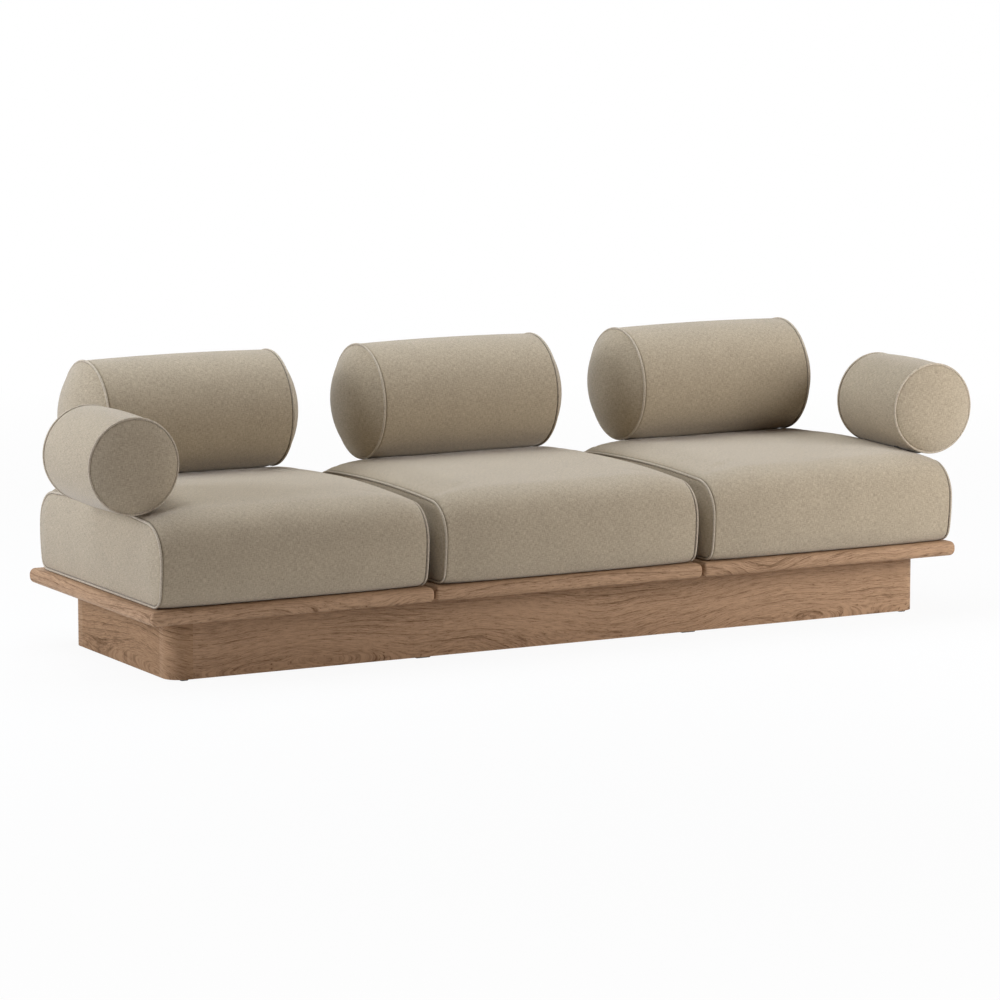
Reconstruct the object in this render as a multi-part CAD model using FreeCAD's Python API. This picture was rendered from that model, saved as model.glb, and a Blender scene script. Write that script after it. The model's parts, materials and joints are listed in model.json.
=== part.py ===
import FreeCAD, Part
import math
import os

# Three-seat modular sofa: an oak plinth with three platform boards, three boxed seats that lift off
# it, and five round bolsters, three for the back and two for the arms, whose steel pegs plug into
# sockets in the seats. Millimetres, +Z up, front towards -Y, +X to the right of someone facing it.
# Left, middle and right are as seen from the front.

SIDES = {"left": -1, "middle": 0, "right": 1}
ARM_SIDES = {"left": -1, "right": 1}

# Platform boards
MODULE_PITCH = 750.0
BOARD_GAP = 4.0
BOARD_DEPTH = 740.0
BOARD_THICK = 38.0
BOARD_EDGE_R = 14.0

# Plinth
PLINTH_TOP = 146.0
GLIDE_THICK = 3.0
GLIDE_LENGTH = 40.0
GLIDE_WIDTH = 16.0
PLINTH_END_INSET = 77.0
PLINTH_FRONT_INSET = 66.0
PLINTH_BACK_INSET = 97.0
POST_SIZE = 60.0
POST_CORNER_R = 42.0
PANEL_THICK = 22.0
RIB_THICK = 40.0
RIB_HEIGHT = 95.0
CLEAT_SIZE = 30.0

# Blocks on the boards that keep the seats in place
BLOCK_LENGTH = 120.0
BLOCK_WIDTH = 50.0
BLOCK_HEIGHT = 12.0
BLOCK_SPACING = 330.0
BLOCK_CLEARANCE = 1.0

# Piping: a cord sewn into every seam
PIPING_PROUD = 3.2
PIPING_FOOT = 5.0

# Seat: the outline of its side seams, and how far the cloth swells out between them
REST_GAP = 0.3
SEAM_INSET = 24.0
SEAM_FRONT_OVERHANG = 7.0
SEAM_BACK_INSET = 30.0
SEAM_HEIGHT = 210.0
FRONT_BOW_R = 400.0
FRONT_FULL_HEIGHT = 112.0
BACK_BOW_R = 320.0
BACK_FULL_HEIGHT = 98.0
TOP_BOW_R = 4000.0
FRONT_TOP_R = 82.0
BACK_TOP_R = 82.0
FRONT_FOOT_R = 36.0
BACK_FOOT_R = 30.0
SEAT_CROWN = 22.0
SEAT_SWELL = 10.0
SEAT_PUFF = 11.0
COVER_THICK = 2.0
SEAT_WADDING = 14.0
SEAT_PANEL_THICK = 15.0
SEAT_PANEL_MARGIN = 6.0

# Pegs and sockets that hold the bolsters on the seats
PEG_SIZE = 20.0
PEG_TIP = 4.0
PEG_CLEARANCE = 0.5
PLATE_SIZE = 52.0
PLATE_THICK = 4.0
SOCKET_WALL = 2.5
SOCKET_BELOW_SEAM = 26.0

# Bolsters
SPINE_WIDTH = 60.0
SPINE_THICK = 45.0
SPINE_END_INSET = 34.0
BOLSTER_WADDING = 12.0
BOLSTER_GAP = 0.6

BACK_RIM_R = 145.0
BACK_LENGTH = 498.0
BACK_CROWN = 4.0
BACK_DOME = 52.0
BACK_AXIS_INSET = 80.0
BACK_PEG_SPACING = 300.0
BACK_PEG_FORWARD = 22.0

ARM_RIM_R = 114.5
ARM_LENGTH = 270.0
ARM_CROWN = 2.5
ARM_DOME = 14.0
ARM_FRONT_SETBACK = 108.0
ARM_AXIS_OUTSIDE_SEAM = 16.0
ARM_PEG_SPACING = 140.0
ARM_PEG_INWARD = 57.0

# How many straight stretches stand for each round one in the soft forms
BOLSTER_FLATS = 32
CORE_FLATS = 12
FOOT_FLATS = 3
BOW_FLATS = 4
CORNER_FLATS = 5

# Heights
BOARD_TOP = PLINTH_TOP + BOARD_THICK
SEAT_BOTTOM = BOARD_TOP + REST_GAP
SEAM_BOTTOM = SEAT_BOTTOM + PIPING_PROUD + REST_GAP
SEAM_TOP = BOARD_TOP + SEAM_HEIGHT
SEAT_PANEL_BOTTOM = SEAT_BOTTOM + COVER_THICK
SEAT_PANEL_TOP = SEAT_PANEL_BOTTOM + SEAT_PANEL_THICK
SOCKET_FLOOR = SEAT_PANEL_TOP + PLATE_THICK
SOCKET_TOP = SEAM_TOP - SOCKET_BELOW_SEAM

# Places along X and Y, with Y first measured from the middle of the boards
BOARD_FRONT = -BOARD_DEPTH / 2
BOARD_BACK = BOARD_DEPTH / 2
SEAM_HALF = MODULE_PITCH / 2 - SEAM_INSET
CORE_HALF = SEAM_HALF - SEAT_WADDING
SEAM_FRONT = BOARD_FRONT - SEAM_FRONT_OVERHANG
SEAM_BACK = BOARD_BACK - SEAM_BACK_INSET
PLINTH_HALF = 1.5 * MODULE_PITCH - PLINTH_END_INSET
PLINTH_FRONT = BOARD_FRONT + PLINTH_FRONT_INSET
PLINTH_BACK = BOARD_BACK - PLINTH_BACK_INSET
BACK_AXIS_Y = BOARD_BACK - BACK_AXIS_INSET
BACK_PEG_Y = BACK_AXIS_Y - BACK_PEG_FORWARD
ARM_MID_Y = BOARD_FRONT + ARM_FRONT_SETBACK + ARM_LENGTH / 2
ARM_OFFSET = SEAM_HALF + ARM_AXIS_OUTSIDE_SEAM
ARM_PEG_OFFSET = ARM_OFFSET - ARM_PEG_INWARD

# The part's origin is on the floor below the middle of its overall depth, so the finished pieces
# move by this much from the boards' middle.
FRONT_REACH = SEAM_FRONT - SEAT_SWELL
BACK_REACH = BACK_AXIS_Y + BACK_RIM_R + BACK_CROWN
ORIGIN_SHIFT = FreeCAD.Vector(0, -(FRONT_REACH + BACK_REACH) / 2, 0)


def box(x_low, x_high, y_low, y_high, z_low, z_high):
    """A block between two corners."""
    corner = FreeCAD.Vector(x_low, y_low, z_low)
    return Part.makeBox(x_high - x_low, y_high - y_low, z_high - z_low, corner)


def block_at(x, y, size_x, size_y, z_low, z_high):
    """An upright block centred on a point of the plan."""
    return box(x - size_x / 2, x + size_x / 2, y - size_y / 2, y + size_y / 2, z_low, z_high)


def closed_wire(points):
    """A closed wire of straight stretches."""
    return Part.makePolygon(points + points[:1])


def straight_loft(wires):
    """A solid with straight stretches from each section to the next."""
    return Part.makeLoft(wires, True, True)


def flat_sided_solid(rings):
    """A solid through closed rings of points, with one flat face from each side to the next ring's."""
    faces = [Part.Face(closed_wire(rings[0])), Part.Face(closed_wire(rings[-1]))]
    for near, far in zip(rings, rings[1:]):
        for step in range(len(near)):
            corners = [near[step - 1], near[step], far[step], far[step - 1]]
            faces.append(Part.Face(closed_wire(corners)))
    return Part.makeSolid(Part.makeShell(faces))


def save(node, *solids):
    """Moves the solids into the part's frame and writes them as one node."""
    moved = [solid.translated(ORIGIN_SHIFT) for solid in solids]
    shape = moved[0] if len(moved) == 1 else Part.makeCompound(moved)
    shape.exportStep("parts/" + node + ".step")


# Platform and plinth

def platform_board(module):
    """One board with rounded top and bottom edges."""
    half = (MODULE_PITCH - BOARD_GAP) / 2
    middle = module * MODULE_PITCH
    board = box(middle - half, middle + half, BOARD_FRONT, BOARD_BACK, PLINTH_TOP, BOARD_TOP)
    rim = [edge for edge in board.Edges if edge.BoundBox.ZLength < BOARD_THICK / 2]
    return board.makeFillet(min(BOARD_EDGE_R, 0.45 * BOARD_THICK), rim)


def corner_post(side, y_out, y_in):
    """A post of the plinth with its outer corner rounded."""
    x_out = side * PLINTH_HALF
    x_in = side * (PLINTH_HALF - POST_SIZE)
    x_low, x_high = sorted((x_in, x_out))
    y_low, y_high = sorted((y_in, y_out))
    post = box(x_low, x_high, y_low, y_high, GLIDE_THICK, PLINTH_TOP)
    outer = []
    for edge in post.Edges:
        middle = edge.CenterOfMass
        if math.hypot(middle.x - x_out, middle.y - y_out) < POST_SIZE / 4:
            outer.append(edge)
    return post.makeFillet(POST_CORNER_R, outer)


def build_plinth():
    """Panels, posts, ribs, cleats and glides; with the boards they are the body on the floor."""
    post_face = PLINTH_HALF - POST_SIZE
    front_face = PLINTH_FRONT + PANEL_THICK
    back_face = PLINTH_BACK - PANEL_THICK

    front = box(-post_face, post_face, PLINTH_FRONT, front_face, GLIDE_THICK, PLINTH_TOP)
    back = box(-post_face, post_face, back_face, PLINTH_BACK, GLIDE_THICK, PLINTH_TOP)
    save("plinth_front_panel", front)
    save("plinth_back_panel", back)

    posts = []
    for name, side in ARM_SIDES.items():
        inner = side * (PLINTH_HALF - PANEL_THICK)
        outer = side * PLINTH_HALF
        front_post = PLINTH_FRONT + POST_SIZE
        back_post = PLINTH_BACK - POST_SIZE
        end = box(min(inner, outer), max(inner, outer), front_post, back_post, GLIDE_THICK, PLINTH_TOP)
        save("plinth_" + name + "_end", end)
        posts.append(corner_post(side, PLINTH_FRONT, front_post))
        posts.append(corner_post(side, PLINTH_BACK, back_post))
    save("plinth_corner_posts", *posts)

    # A rib stands under the middle of each board and under each joint between boards.
    ribs = []
    stops = [-post_face]
    for step in range(-2, 3):
        low = step * MODULE_PITCH / 2 - RIB_THICK / 2
        high = low + RIB_THICK
        ribs.append(box(low, high, front_face, back_face, PLINTH_TOP - RIB_HEIGHT, PLINTH_TOP))
        stops += [low, high]
    stops.append(post_face)
    save("plinth_cross_ribs", *ribs)

    cleats = []
    for start, end in zip(stops[0::2], stops[1::2]):
        for y_low in (front_face, back_face - CLEAT_SIZE):
            y_high = y_low + CLEAT_SIZE
            cleats.append(box(start, end, y_low, y_high, PLINTH_TOP - CLEAT_SIZE, PLINTH_TOP))
    save("plinth_cleats", *cleats)

    glides = []
    post_middle = PLINTH_HALF - POST_SIZE / 2
    for x in (-post_middle, -MODULE_PITCH / 2, MODULE_PITCH / 2, post_middle):
        for y in (PLINTH_FRONT + PANEL_THICK / 2, PLINTH_BACK - PANEL_THICK / 2):
            glides.append(block_at(x, y, GLIDE_LENGTH, GLIDE_WIDTH, 0.0, GLIDE_THICK))
    save("plinth_glides", *glides)


def block_places():
    """X of the locating blocks, a pair under each seat."""
    for module in SIDES.values():
        for side in (-1, 1):
            yield module * MODULE_PITCH + side * BLOCK_SPACING / 2


def locating_block(x, room):
    """A block glued to a board, or with room added the slot for it in a seat."""
    length = BLOCK_LENGTH + 2 * room
    width = BLOCK_WIDTH + 2 * room
    return block_at(x, 0.0, length, width, BOARD_TOP, BOARD_TOP + BLOCK_HEIGHT + room)


def build_platform():
    """The three boards and the blocks on them."""
    for name, module in SIDES.items():
        save("platform_" + name, platform_board(module))
    save("seat_locating_blocks", *[locating_block(x, 0.0) for x in block_places()])


# Seats

def rounding_centre(bow, top, radius, side):
    """Centre of a rounding inside the front (-1) or back (+1) bow and the top, each (y, z, radius)."""
    span = math.hypot(top[0] - bow[0], top[1] - bow[1])
    reach_bow = bow[2] - radius
    reach_top = top[2] - radius
    along = (reach_bow ** 2 - reach_top ** 2 + span ** 2) / (2 * span)
    across = math.sqrt(reach_bow ** 2 - along ** 2)
    unit_y = (top[0] - bow[0]) / span
    unit_z = (top[1] - bow[1]) / span
    y = bow[0] + along * unit_y - side * across * unit_z
    z = bow[1] + along * unit_z + side * across * unit_y
    return y, z


def foot_centre(bow, bottom, radius, side):
    """Centre of a rounding between the flat bottom and the front (-1) or back (+1) bow."""
    z = bottom + radius
    return bow[0] + side * math.sqrt((bow[2] - radius) ** 2 - (z - bow[1]) ** 2), z


def touch(bow, centre):
    """Point where a bow meets a rounding inside it."""
    scale = bow[2] / math.hypot(centre[0] - bow[0], centre[1] - bow[1])
    return bow[0] + (centre[0] - bow[0]) * scale, bow[1] + (centre[1] - bow[1]) * scale


def arc_points(start, end, centre, flats):
    """Points from just after the start of an arc to its end, on straight stretches of equal turn."""
    radius = math.hypot(start[0] - centre[0], start[1] - centre[1])
    first = math.atan2(start[1] - centre[1], start[0] - centre[0])
    turn = math.atan2(end[1] - centre[1], end[0] - centre[0]) - first
    turn = (turn + math.pi) % (2 * math.pi) - math.pi
    points = []
    for step in range(1, flats + 1):
        angle = first + turn * step / flats
        points.append((centre[0] + radius * math.cos(angle), centre[1] + radius * math.sin(angle)))
    return points


def seat_outline(side_swell, top_swell, bottom):
    """Outline (y, z) of the seat across X, swollen from the outline of its side seams.

    The front, back and top are bows whose centres stay put as they swell. Roundings tangent to both
    their neighbours join them, and grow and shrink with the outline's height.
    """
    front = (SEAM_FRONT + FRONT_BOW_R, BOARD_TOP + FRONT_FULL_HEIGHT, FRONT_BOW_R + side_swell)
    back = (SEAM_BACK - BACK_BOW_R, BOARD_TOP + BACK_FULL_HEIGHT, BACK_BOW_R + side_swell)
    top = ((SEAM_FRONT + SEAM_BACK) / 2, SEAM_TOP - TOP_BOW_R, TOP_BOW_R + top_swell)
    growth = (SEAM_TOP + top_swell - bottom) / (SEAM_TOP - SEAM_BOTTOM)
    front_top = rounding_centre(front, top, FRONT_TOP_R * growth, -1)
    back_top = rounding_centre(back, top, BACK_TOP_R * growth, 1)
    front_foot = foot_centre(front, bottom, FRONT_FOOT_R * growth, -1)
    back_foot = foot_centre(back, bottom, BACK_FOOT_R * growth, 1)
    turns = [
        (touch(front, front_foot), front_foot, FOOT_FLATS),
        (touch(front, front_top), front, BOW_FLATS),
        (touch(top, front_top), front_top, CORNER_FLATS),
        (touch(top, back_top), top, BOW_FLATS),
        (touch(back, back_top), back_top, CORNER_FLATS),
        (touch(back, back_foot), back, BOW_FLATS),
        ((back_foot[0], bottom), back_foot, FOOT_FLATS),
    ]
    points = [(front_foot[0], bottom)]
    for end, centre, flats in turns:
        points += arc_points(points[-1], end, centre, flats)
    return points


def outline_wire(outline, x):
    """The outline as a closed wire in the plane of an X."""
    return closed_wire([FreeCAD.Vector(x, y, z) for y, z in outline])


def swell_share(offset):
    """How much of the full swell the cloth has at an offset from the middle towards a side seam."""
    return 1 - (offset / SEAM_HALF) ** 4


def wrap_outline(offset):
    """Outline of the wrap at an offset: crowned between the seams, flat under all but its rim."""
    swell = swell_share(offset)
    lift = max(0.0, (offset - CORE_HALF) / (SEAM_HALF - CORE_HALF))
    bottom = SEAT_BOTTOM + lift * (SEAM_BOTTOM - SEAT_BOTTOM)
    return seat_outline(SEAT_SWELL * swell, SEAT_CROWN * swell, bottom)


def side_outline(inset):
    """Outline of a side panel, drawn in from its seam."""
    return seat_outline(-inset, -inset, SEAM_BOTTOM + inset)


def piping_sections():
    """Offset and outline of the wrap and of the side panel along the two edges of the piping."""
    wrap = SEAM_HALF - PIPING_FOOT
    return (wrap, wrap_outline(wrap)), (SEAM_HALF + 0.45 * SEAT_PUFF, side_outline(PIPING_FOOT))


def seat_form(middle):
    """The whole padded seat: puffed sides, creased side seams and a crowned, bowed wrap between."""
    inner_edge, outer_edge = piping_sections()
    half = [(share * SEAM_HALF, wrap_outline(share * SEAM_HALF)) for share in (0.4, 0.75)]
    half.append((CORE_HALF, wrap_outline(CORE_HALF)))
    half.append(inner_edge)
    half.append((SEAM_HALF, wrap_outline(SEAM_HALF)))
    half.append(outer_edge)
    half.append((SEAM_HALF + 0.8 * SEAT_PUFF, side_outline(3 * PIPING_FOOT)))
    half.append((SEAM_HALF + SEAT_PUFF, side_outline(8 * PIPING_FOOT)))
    left = [outline_wire(outline, middle - offset) for offset, outline in reversed(half)]
    right = [outline_wire(outline, middle + offset) for offset, outline in half]
    return straight_loft(left + [outline_wire(wrap_outline(0.0), middle)] + right)


def seat_piping(middle, side):
    """The bead of piping on one side seam, seated on the wrap and on the side panel."""
    inner_edge, outer_edge = piping_sections()
    crest = seat_outline(PIPING_PROUD, PIPING_PROUD, SEAM_BOTTOM - PIPING_PROUD)
    seam = wrap_outline(SEAM_HALF)
    beads = []
    for outline in (crest, seam):
        sections = (inner_edge, (SEAM_HALF, outline), outer_edge)
        beads.append(straight_loft([outline_wire(line, middle + side * x) for x, line in sections]))
    return beads[0].cut(beads[1]).Solids[0]


def seat_core(middle):
    """The foam core: a block with straight-cut faces just inside the seams' outline."""
    outline = seat_outline(-SEAT_WADDING, -SEAT_WADDING, SEAT_PANEL_TOP)
    face = Part.Face(outline_wire(outline, middle - CORE_HALF))
    return face.extrude(FreeCAD.Vector(2 * CORE_HALF, 0, 0))


def seat_panel(middle):
    """The plywood panel under the core."""
    seam = wrap_outline(SEAM_HALF)
    front = seam[0][0] + SEAT_PANEL_MARGIN
    back = seam[-1][0] - SEAT_PANEL_MARGIN
    return box(middle - CORE_HALF, middle + CORE_HALF, front, back, SEAT_PANEL_BOTTOM, SEAT_PANEL_TOP)


def peg_places(name, module):
    """Plan places of the pegs that plug into one seat: the back bolster's pair, then any arm's pair."""
    middle = module * MODULE_PITCH
    places = [(middle + side * BACK_PEG_SPACING / 2, BACK_PEG_Y) for side in (-1, 1)]
    if name in ARM_SIDES:
        x = middle + module * ARM_PEG_OFFSET
        places += [(x, ARM_MID_Y + side * ARM_PEG_SPACING / 2) for side in (-1, 1)]
    return places


def peg_way(x, y, z_low, z_high):
    """The square way that a peg slides in."""
    width = PEG_SIZE + 2 * PEG_CLEARANCE
    return block_at(x, y, width, width, z_low, z_high)


def socket_block(x, y):
    """A socket with its bore filled: a plate on the seat's panel and an upright square tube."""
    width = PEG_SIZE + 2 * PEG_CLEARANCE + 2 * SOCKET_WALL
    plate = block_at(x, y, PLATE_SIZE, PLATE_SIZE, SEAT_PANEL_TOP, SOCKET_FLOOR)
    return plate.fuse(block_at(x, y, width, width, SOCKET_FLOOR, SOCKET_TOP))


def build_seat(name, module):
    """One lift-off seat: panel, core, sockets, the padded cover round them and its piping."""
    middle = module * MODULE_PITCH
    node = "seat_" + name
    sockets = []
    blocks = []
    slits = []
    for x, y in peg_places(name, module):
        block = socket_block(x, y)
        blocks.append(block)
        sockets.append(block.cut(peg_way(x, y, SOCKET_FLOOR, SOCKET_TOP)).Solids[0])
        slits.append(peg_way(x, y, SOCKET_TOP, SEAM_TOP + 2 * SEAT_CROWN))
    slots = [locating_block(x, BLOCK_CLEARANCE) for x in block_places()]
    panel = seat_panel(middle)
    core = seat_core(middle)
    save(node + "_base_panel", panel.cut(slots).Solids[0])
    save(node + "_foam_core", core.cut(blocks + slits).Solids[0])
    save(node + "_sockets", *sockets)
    save(node + "_cover", seat_form(middle).cut([core, panel] + blocks + slits + slots).Solids[0])
    save(node + "_piping", seat_piping(middle, -1), seat_piping(middle, 1))


# Bolsters

def rest_height(points, axis, radius):
    """Lowest height of a round bolster's axis that keeps it clear of a seat's points (across, z)."""
    heights = []
    for across, z in points:
        offset = abs(across - axis)
        if offset < radius:
            heights.append(z + math.sqrt(radius ** 2 - offset ** 2))
    return max(heights) + BOLSTER_GAP


def back_axis_height():
    """The back bolster rests on the crowned top and back edge of the seat's middle section."""
    line = outline_wire(wrap_outline(0.0), 0.0).discretize(Number=600)
    return rest_height([(point.y, point.z) for point in line], BACK_AXIS_Y, BACK_RIM_R + BACK_CROWN)


def arm_axis_height():
    """The arm rests on the piping of the seat's side seam, clear of the crown inside it."""
    points = [(SEAM_HALF, SEAM_TOP + PIPING_PROUD)]
    for step in range(101):
        offset = SEAM_HALF * step / 100
        points.append((offset, SEAM_TOP + SEAT_CROWN * swell_share(offset)))
    return rest_height(points, ARM_OFFSET, ARM_RIM_R + ARM_CROWN)


class Bolster:
    """A round bolster along X about the origin, with a crowned barrel and domed ends."""

    def __init__(self, length, rim_radius, crown, dome):
        self.half = length / 2
        self.rim_radius = rim_radius
        self.crown = crown
        self.dome_radius = (rim_radius ** 2 + dome ** 2) / (2 * dome)
        self.dome_centre = self.half + dome - self.dome_radius
        self.rim_turn = math.asin(rim_radius / self.dome_radius)

    def ring(self, x, radius, flats=BOLSTER_FLATS):
        """The corners of a many-sided ring about the axis."""
        points = []
        for step in range(flats):
            turn = 2 * math.pi * step / flats
            points.append(FreeCAD.Vector(x, radius * math.cos(turn), radius * math.sin(turn)))
        return points

    def barrel(self, x):
        """Place and radius of a ring of the barrel, crowned by a parabola."""
        return x, self.rim_radius + self.crown * (1 - (x / self.half) ** 2)

    def dome(self, share):
        """Place and radius of a ring of the dome, at a share of the way from its tip to the rim."""
        turn = share * self.rim_turn
        return self.dome_centre + self.dome_radius * math.cos(turn), self.dome_radius * math.sin(turn)

    def piping_rings(self):
        """The rings along the two edges of the piping, on the barrel and on the dome."""
        share = 1 - PIPING_FOOT / (self.dome_radius * self.rim_turn)
        return self.barrel(self.half - PIPING_FOOT), self.dome(share)

    def form(self):
        """The padded bolster, creased at its two rim seams."""
        barrel_edge, dome_edge = self.piping_rings()
        rings = [self.barrel(0.6 * self.half), barrel_edge, (self.half, self.rim_radius), dome_edge]
        rings += [self.dome(share) for share in (0.72, 0.44, 0.16)]
        left = [self.ring(-x, radius) for x, radius in reversed(rings)]
        right = [self.ring(x, radius) for x, radius in rings]
        return flat_sided_solid(left + [self.ring(*self.barrel(0.0))] + right)

    def piping(self, side):
        """The bead of piping on one rim seam, seated on the barrel and on the dome."""
        barrel_edge, dome_edge = self.piping_rings()
        crest = (self.half + PIPING_PROUD / 2, self.rim_radius + PIPING_PROUD)
        seam = (self.half, self.rim_radius)
        beads = []
        for middle in (crest, seam):
            rings = [self.ring(side * x, radius) for x, radius in (barrel_edge, middle, dome_edge)]
            beads.append(flat_sided_solid(rings))
        return beads[0].cut(beads[1]).Solids[0]

    def core(self):
        """The foam core: a bar of a few flats inside the wadding."""
        half = self.half - BOLSTER_WADDING
        face = Part.Face(closed_wire(self.ring(-half, self.rim_radius - BOLSTER_WADDING, CORE_FLATS)))
        return face.extrude(FreeCAD.Vector(2 * half, 0, 0))


def peg(x, y, spine_bottom):
    """A square steel peg with a pointed tip, welded to the plate under a spine."""
    tip = SOCKET_FLOOR + REST_GAP
    plate = block_at(x, y, PLATE_SIZE, PLATE_SIZE, spine_bottom - PLATE_THICK, spine_bottom)
    bar = block_at(x, y, PEG_SIZE, PEG_SIZE, tip, spine_bottom - PLATE_THICK)
    tip_edges = [edge for edge in bar.Edges if edge.BoundBox.ZMax < tip + PEG_TIP]
    return plate.fuse(bar.makeChamfer(PEG_TIP, tip_edges)).Solids[0]


def build_bolster(node, bolster, turn, place, spine, pegs):
    """One bolster: its spine, its pegs, its core, the padded cover round them and its piping."""
    spine_bottom = spine.BoundBox.ZMin

    def placed(shape):
        shape.rotate(FreeCAD.Vector(0, 0, 0), FreeCAD.Vector(0, 0, 1), turn)
        return shape.translated(place)

    spaces = [spine]
    for x, y in pegs:
        spaces.append(block_at(x, y, PLATE_SIZE, PLATE_SIZE, spine_bottom - PLATE_THICK, spine_bottom))
        spaces.append(peg_way(x, y, SOCKET_FLOOR, spine_bottom))
    core = placed(bolster.core())
    save(node + "_spine", spine)
    save(node + "_pegs", *[peg(x, y, spine_bottom) for x, y in pegs])
    save(node + "_foam_core", core.cut(spaces).Solids[0])
    save(node + "_cover", placed(bolster.form()).cut([core] + spaces).Solids[0])
    save(node + "_piping", placed(bolster.piping(-1)), placed(bolster.piping(1)))


def build_back_bolster(name, module):
    """A back bolster along X, over the back edge of its seat."""
    place = FreeCAD.Vector(module * MODULE_PITCH, BACK_AXIS_Y, back_axis_height())
    length = BACK_LENGTH - 2 * SPINE_END_INSET
    low = place.z - SPINE_THICK / 2
    spine = block_at(place.x, BACK_PEG_Y, length, SPINE_WIDTH, low, low + SPINE_THICK)
    pegs = [(place.x + end * BACK_PEG_SPACING / 2, BACK_PEG_Y) for end in (-1, 1)]
    bolster = Bolster(BACK_LENGTH, BACK_RIM_R, BACK_CROWN, BACK_DOME)
    build_bolster("back_bolster_" + name, bolster, 0, place, spine, pegs)


def build_arm_bolster(name, side):
    """An arm bolster along Y, over the outer side seam of an end seat."""
    place = FreeCAD.Vector(side * (MODULE_PITCH + ARM_OFFSET), ARM_MID_Y, arm_axis_height())
    peg_x = side * (MODULE_PITCH + ARM_PEG_OFFSET)
    length = ARM_LENGTH - 2 * SPINE_END_INSET
    low = place.z - SPINE_THICK / 2
    spine = block_at(peg_x, ARM_MID_Y, SPINE_WIDTH, length, low, low + SPINE_THICK)
    pegs = [(peg_x, ARM_MID_Y + end * ARM_PEG_SPACING / 2) for end in (-1, 1)]
    bolster = Bolster(ARM_LENGTH, ARM_RIM_R, ARM_CROWN, ARM_DOME)
    build_bolster("arm_bolster_" + name, bolster, 90, place, spine, pegs)


os.makedirs("parts", exist_ok=True)
build_plinth()
build_platform()
for seat_name, seat_module in SIDES.items():
    build_seat(seat_name, seat_module)
    build_back_bolster(seat_name, seat_module)
for arm_name, arm_side in ARM_SIDES.items():
    build_arm_bolster(arm_name, arm_side)
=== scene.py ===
"""Looks of a three-seat modular sofa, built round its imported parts.

Metres, +Z up, the front faces -Y and +X is to the right of someone who faces the sofa. The oak
plinth and boards, the glide pads, the padded seats, the round bolsters and their piping are
surfaces worked out here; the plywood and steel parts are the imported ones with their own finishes.
"""

import json
import logging
import math
from dataclasses import dataclass
from enum import Enum
from typing import Any, Sequence

import bmesh
import bpy
import numpy as np
from mathutils import Matrix, Vector

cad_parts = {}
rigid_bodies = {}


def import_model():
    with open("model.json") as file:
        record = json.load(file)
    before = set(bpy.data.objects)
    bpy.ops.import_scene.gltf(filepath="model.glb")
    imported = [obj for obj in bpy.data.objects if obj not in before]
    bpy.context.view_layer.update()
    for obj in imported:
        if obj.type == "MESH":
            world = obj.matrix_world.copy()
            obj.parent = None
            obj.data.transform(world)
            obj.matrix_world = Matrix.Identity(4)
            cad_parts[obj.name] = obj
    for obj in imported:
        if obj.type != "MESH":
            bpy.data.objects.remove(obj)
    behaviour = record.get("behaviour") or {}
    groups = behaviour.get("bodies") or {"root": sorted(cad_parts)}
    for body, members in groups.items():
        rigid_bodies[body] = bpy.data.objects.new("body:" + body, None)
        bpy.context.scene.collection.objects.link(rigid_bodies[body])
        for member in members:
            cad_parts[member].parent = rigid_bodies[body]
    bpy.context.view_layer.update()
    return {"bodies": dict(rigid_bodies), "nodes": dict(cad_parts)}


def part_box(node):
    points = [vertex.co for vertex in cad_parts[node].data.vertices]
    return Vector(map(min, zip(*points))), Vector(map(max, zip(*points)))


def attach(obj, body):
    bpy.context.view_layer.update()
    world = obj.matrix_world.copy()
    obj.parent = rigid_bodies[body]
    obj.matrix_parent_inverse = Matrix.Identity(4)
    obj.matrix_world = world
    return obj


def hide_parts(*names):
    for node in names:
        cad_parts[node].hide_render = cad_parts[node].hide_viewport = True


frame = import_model()

logging.basicConfig(level=logging.INFO, format="%(message)s")
log = logging.getLogger("sofa")

Array = np.ndarray
Colour = tuple[float, float, float]
Socket = bpy.types.NodeSocket
Piece = bpy.types.Object
# Point mark of painted shade beside the seams: the cloth's colour is darkened in each crease.
SEAM_SHADE_MARK = "seam"
HOLD_MARK = "hold"
OPEN_MARK = "open"
UV_NAME = "cut"
MERGE_DISTANCE = 2e-6


class Side(Enum):
    """Places of the modules along X."""

    LEFT = "left"
    MIDDLE = "middle"
    RIGHT = "right"


class Facing(Enum):
    """Which way a collar round a peg looks."""

    UP = 1
    DOWN = -1


# Meshes


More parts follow.
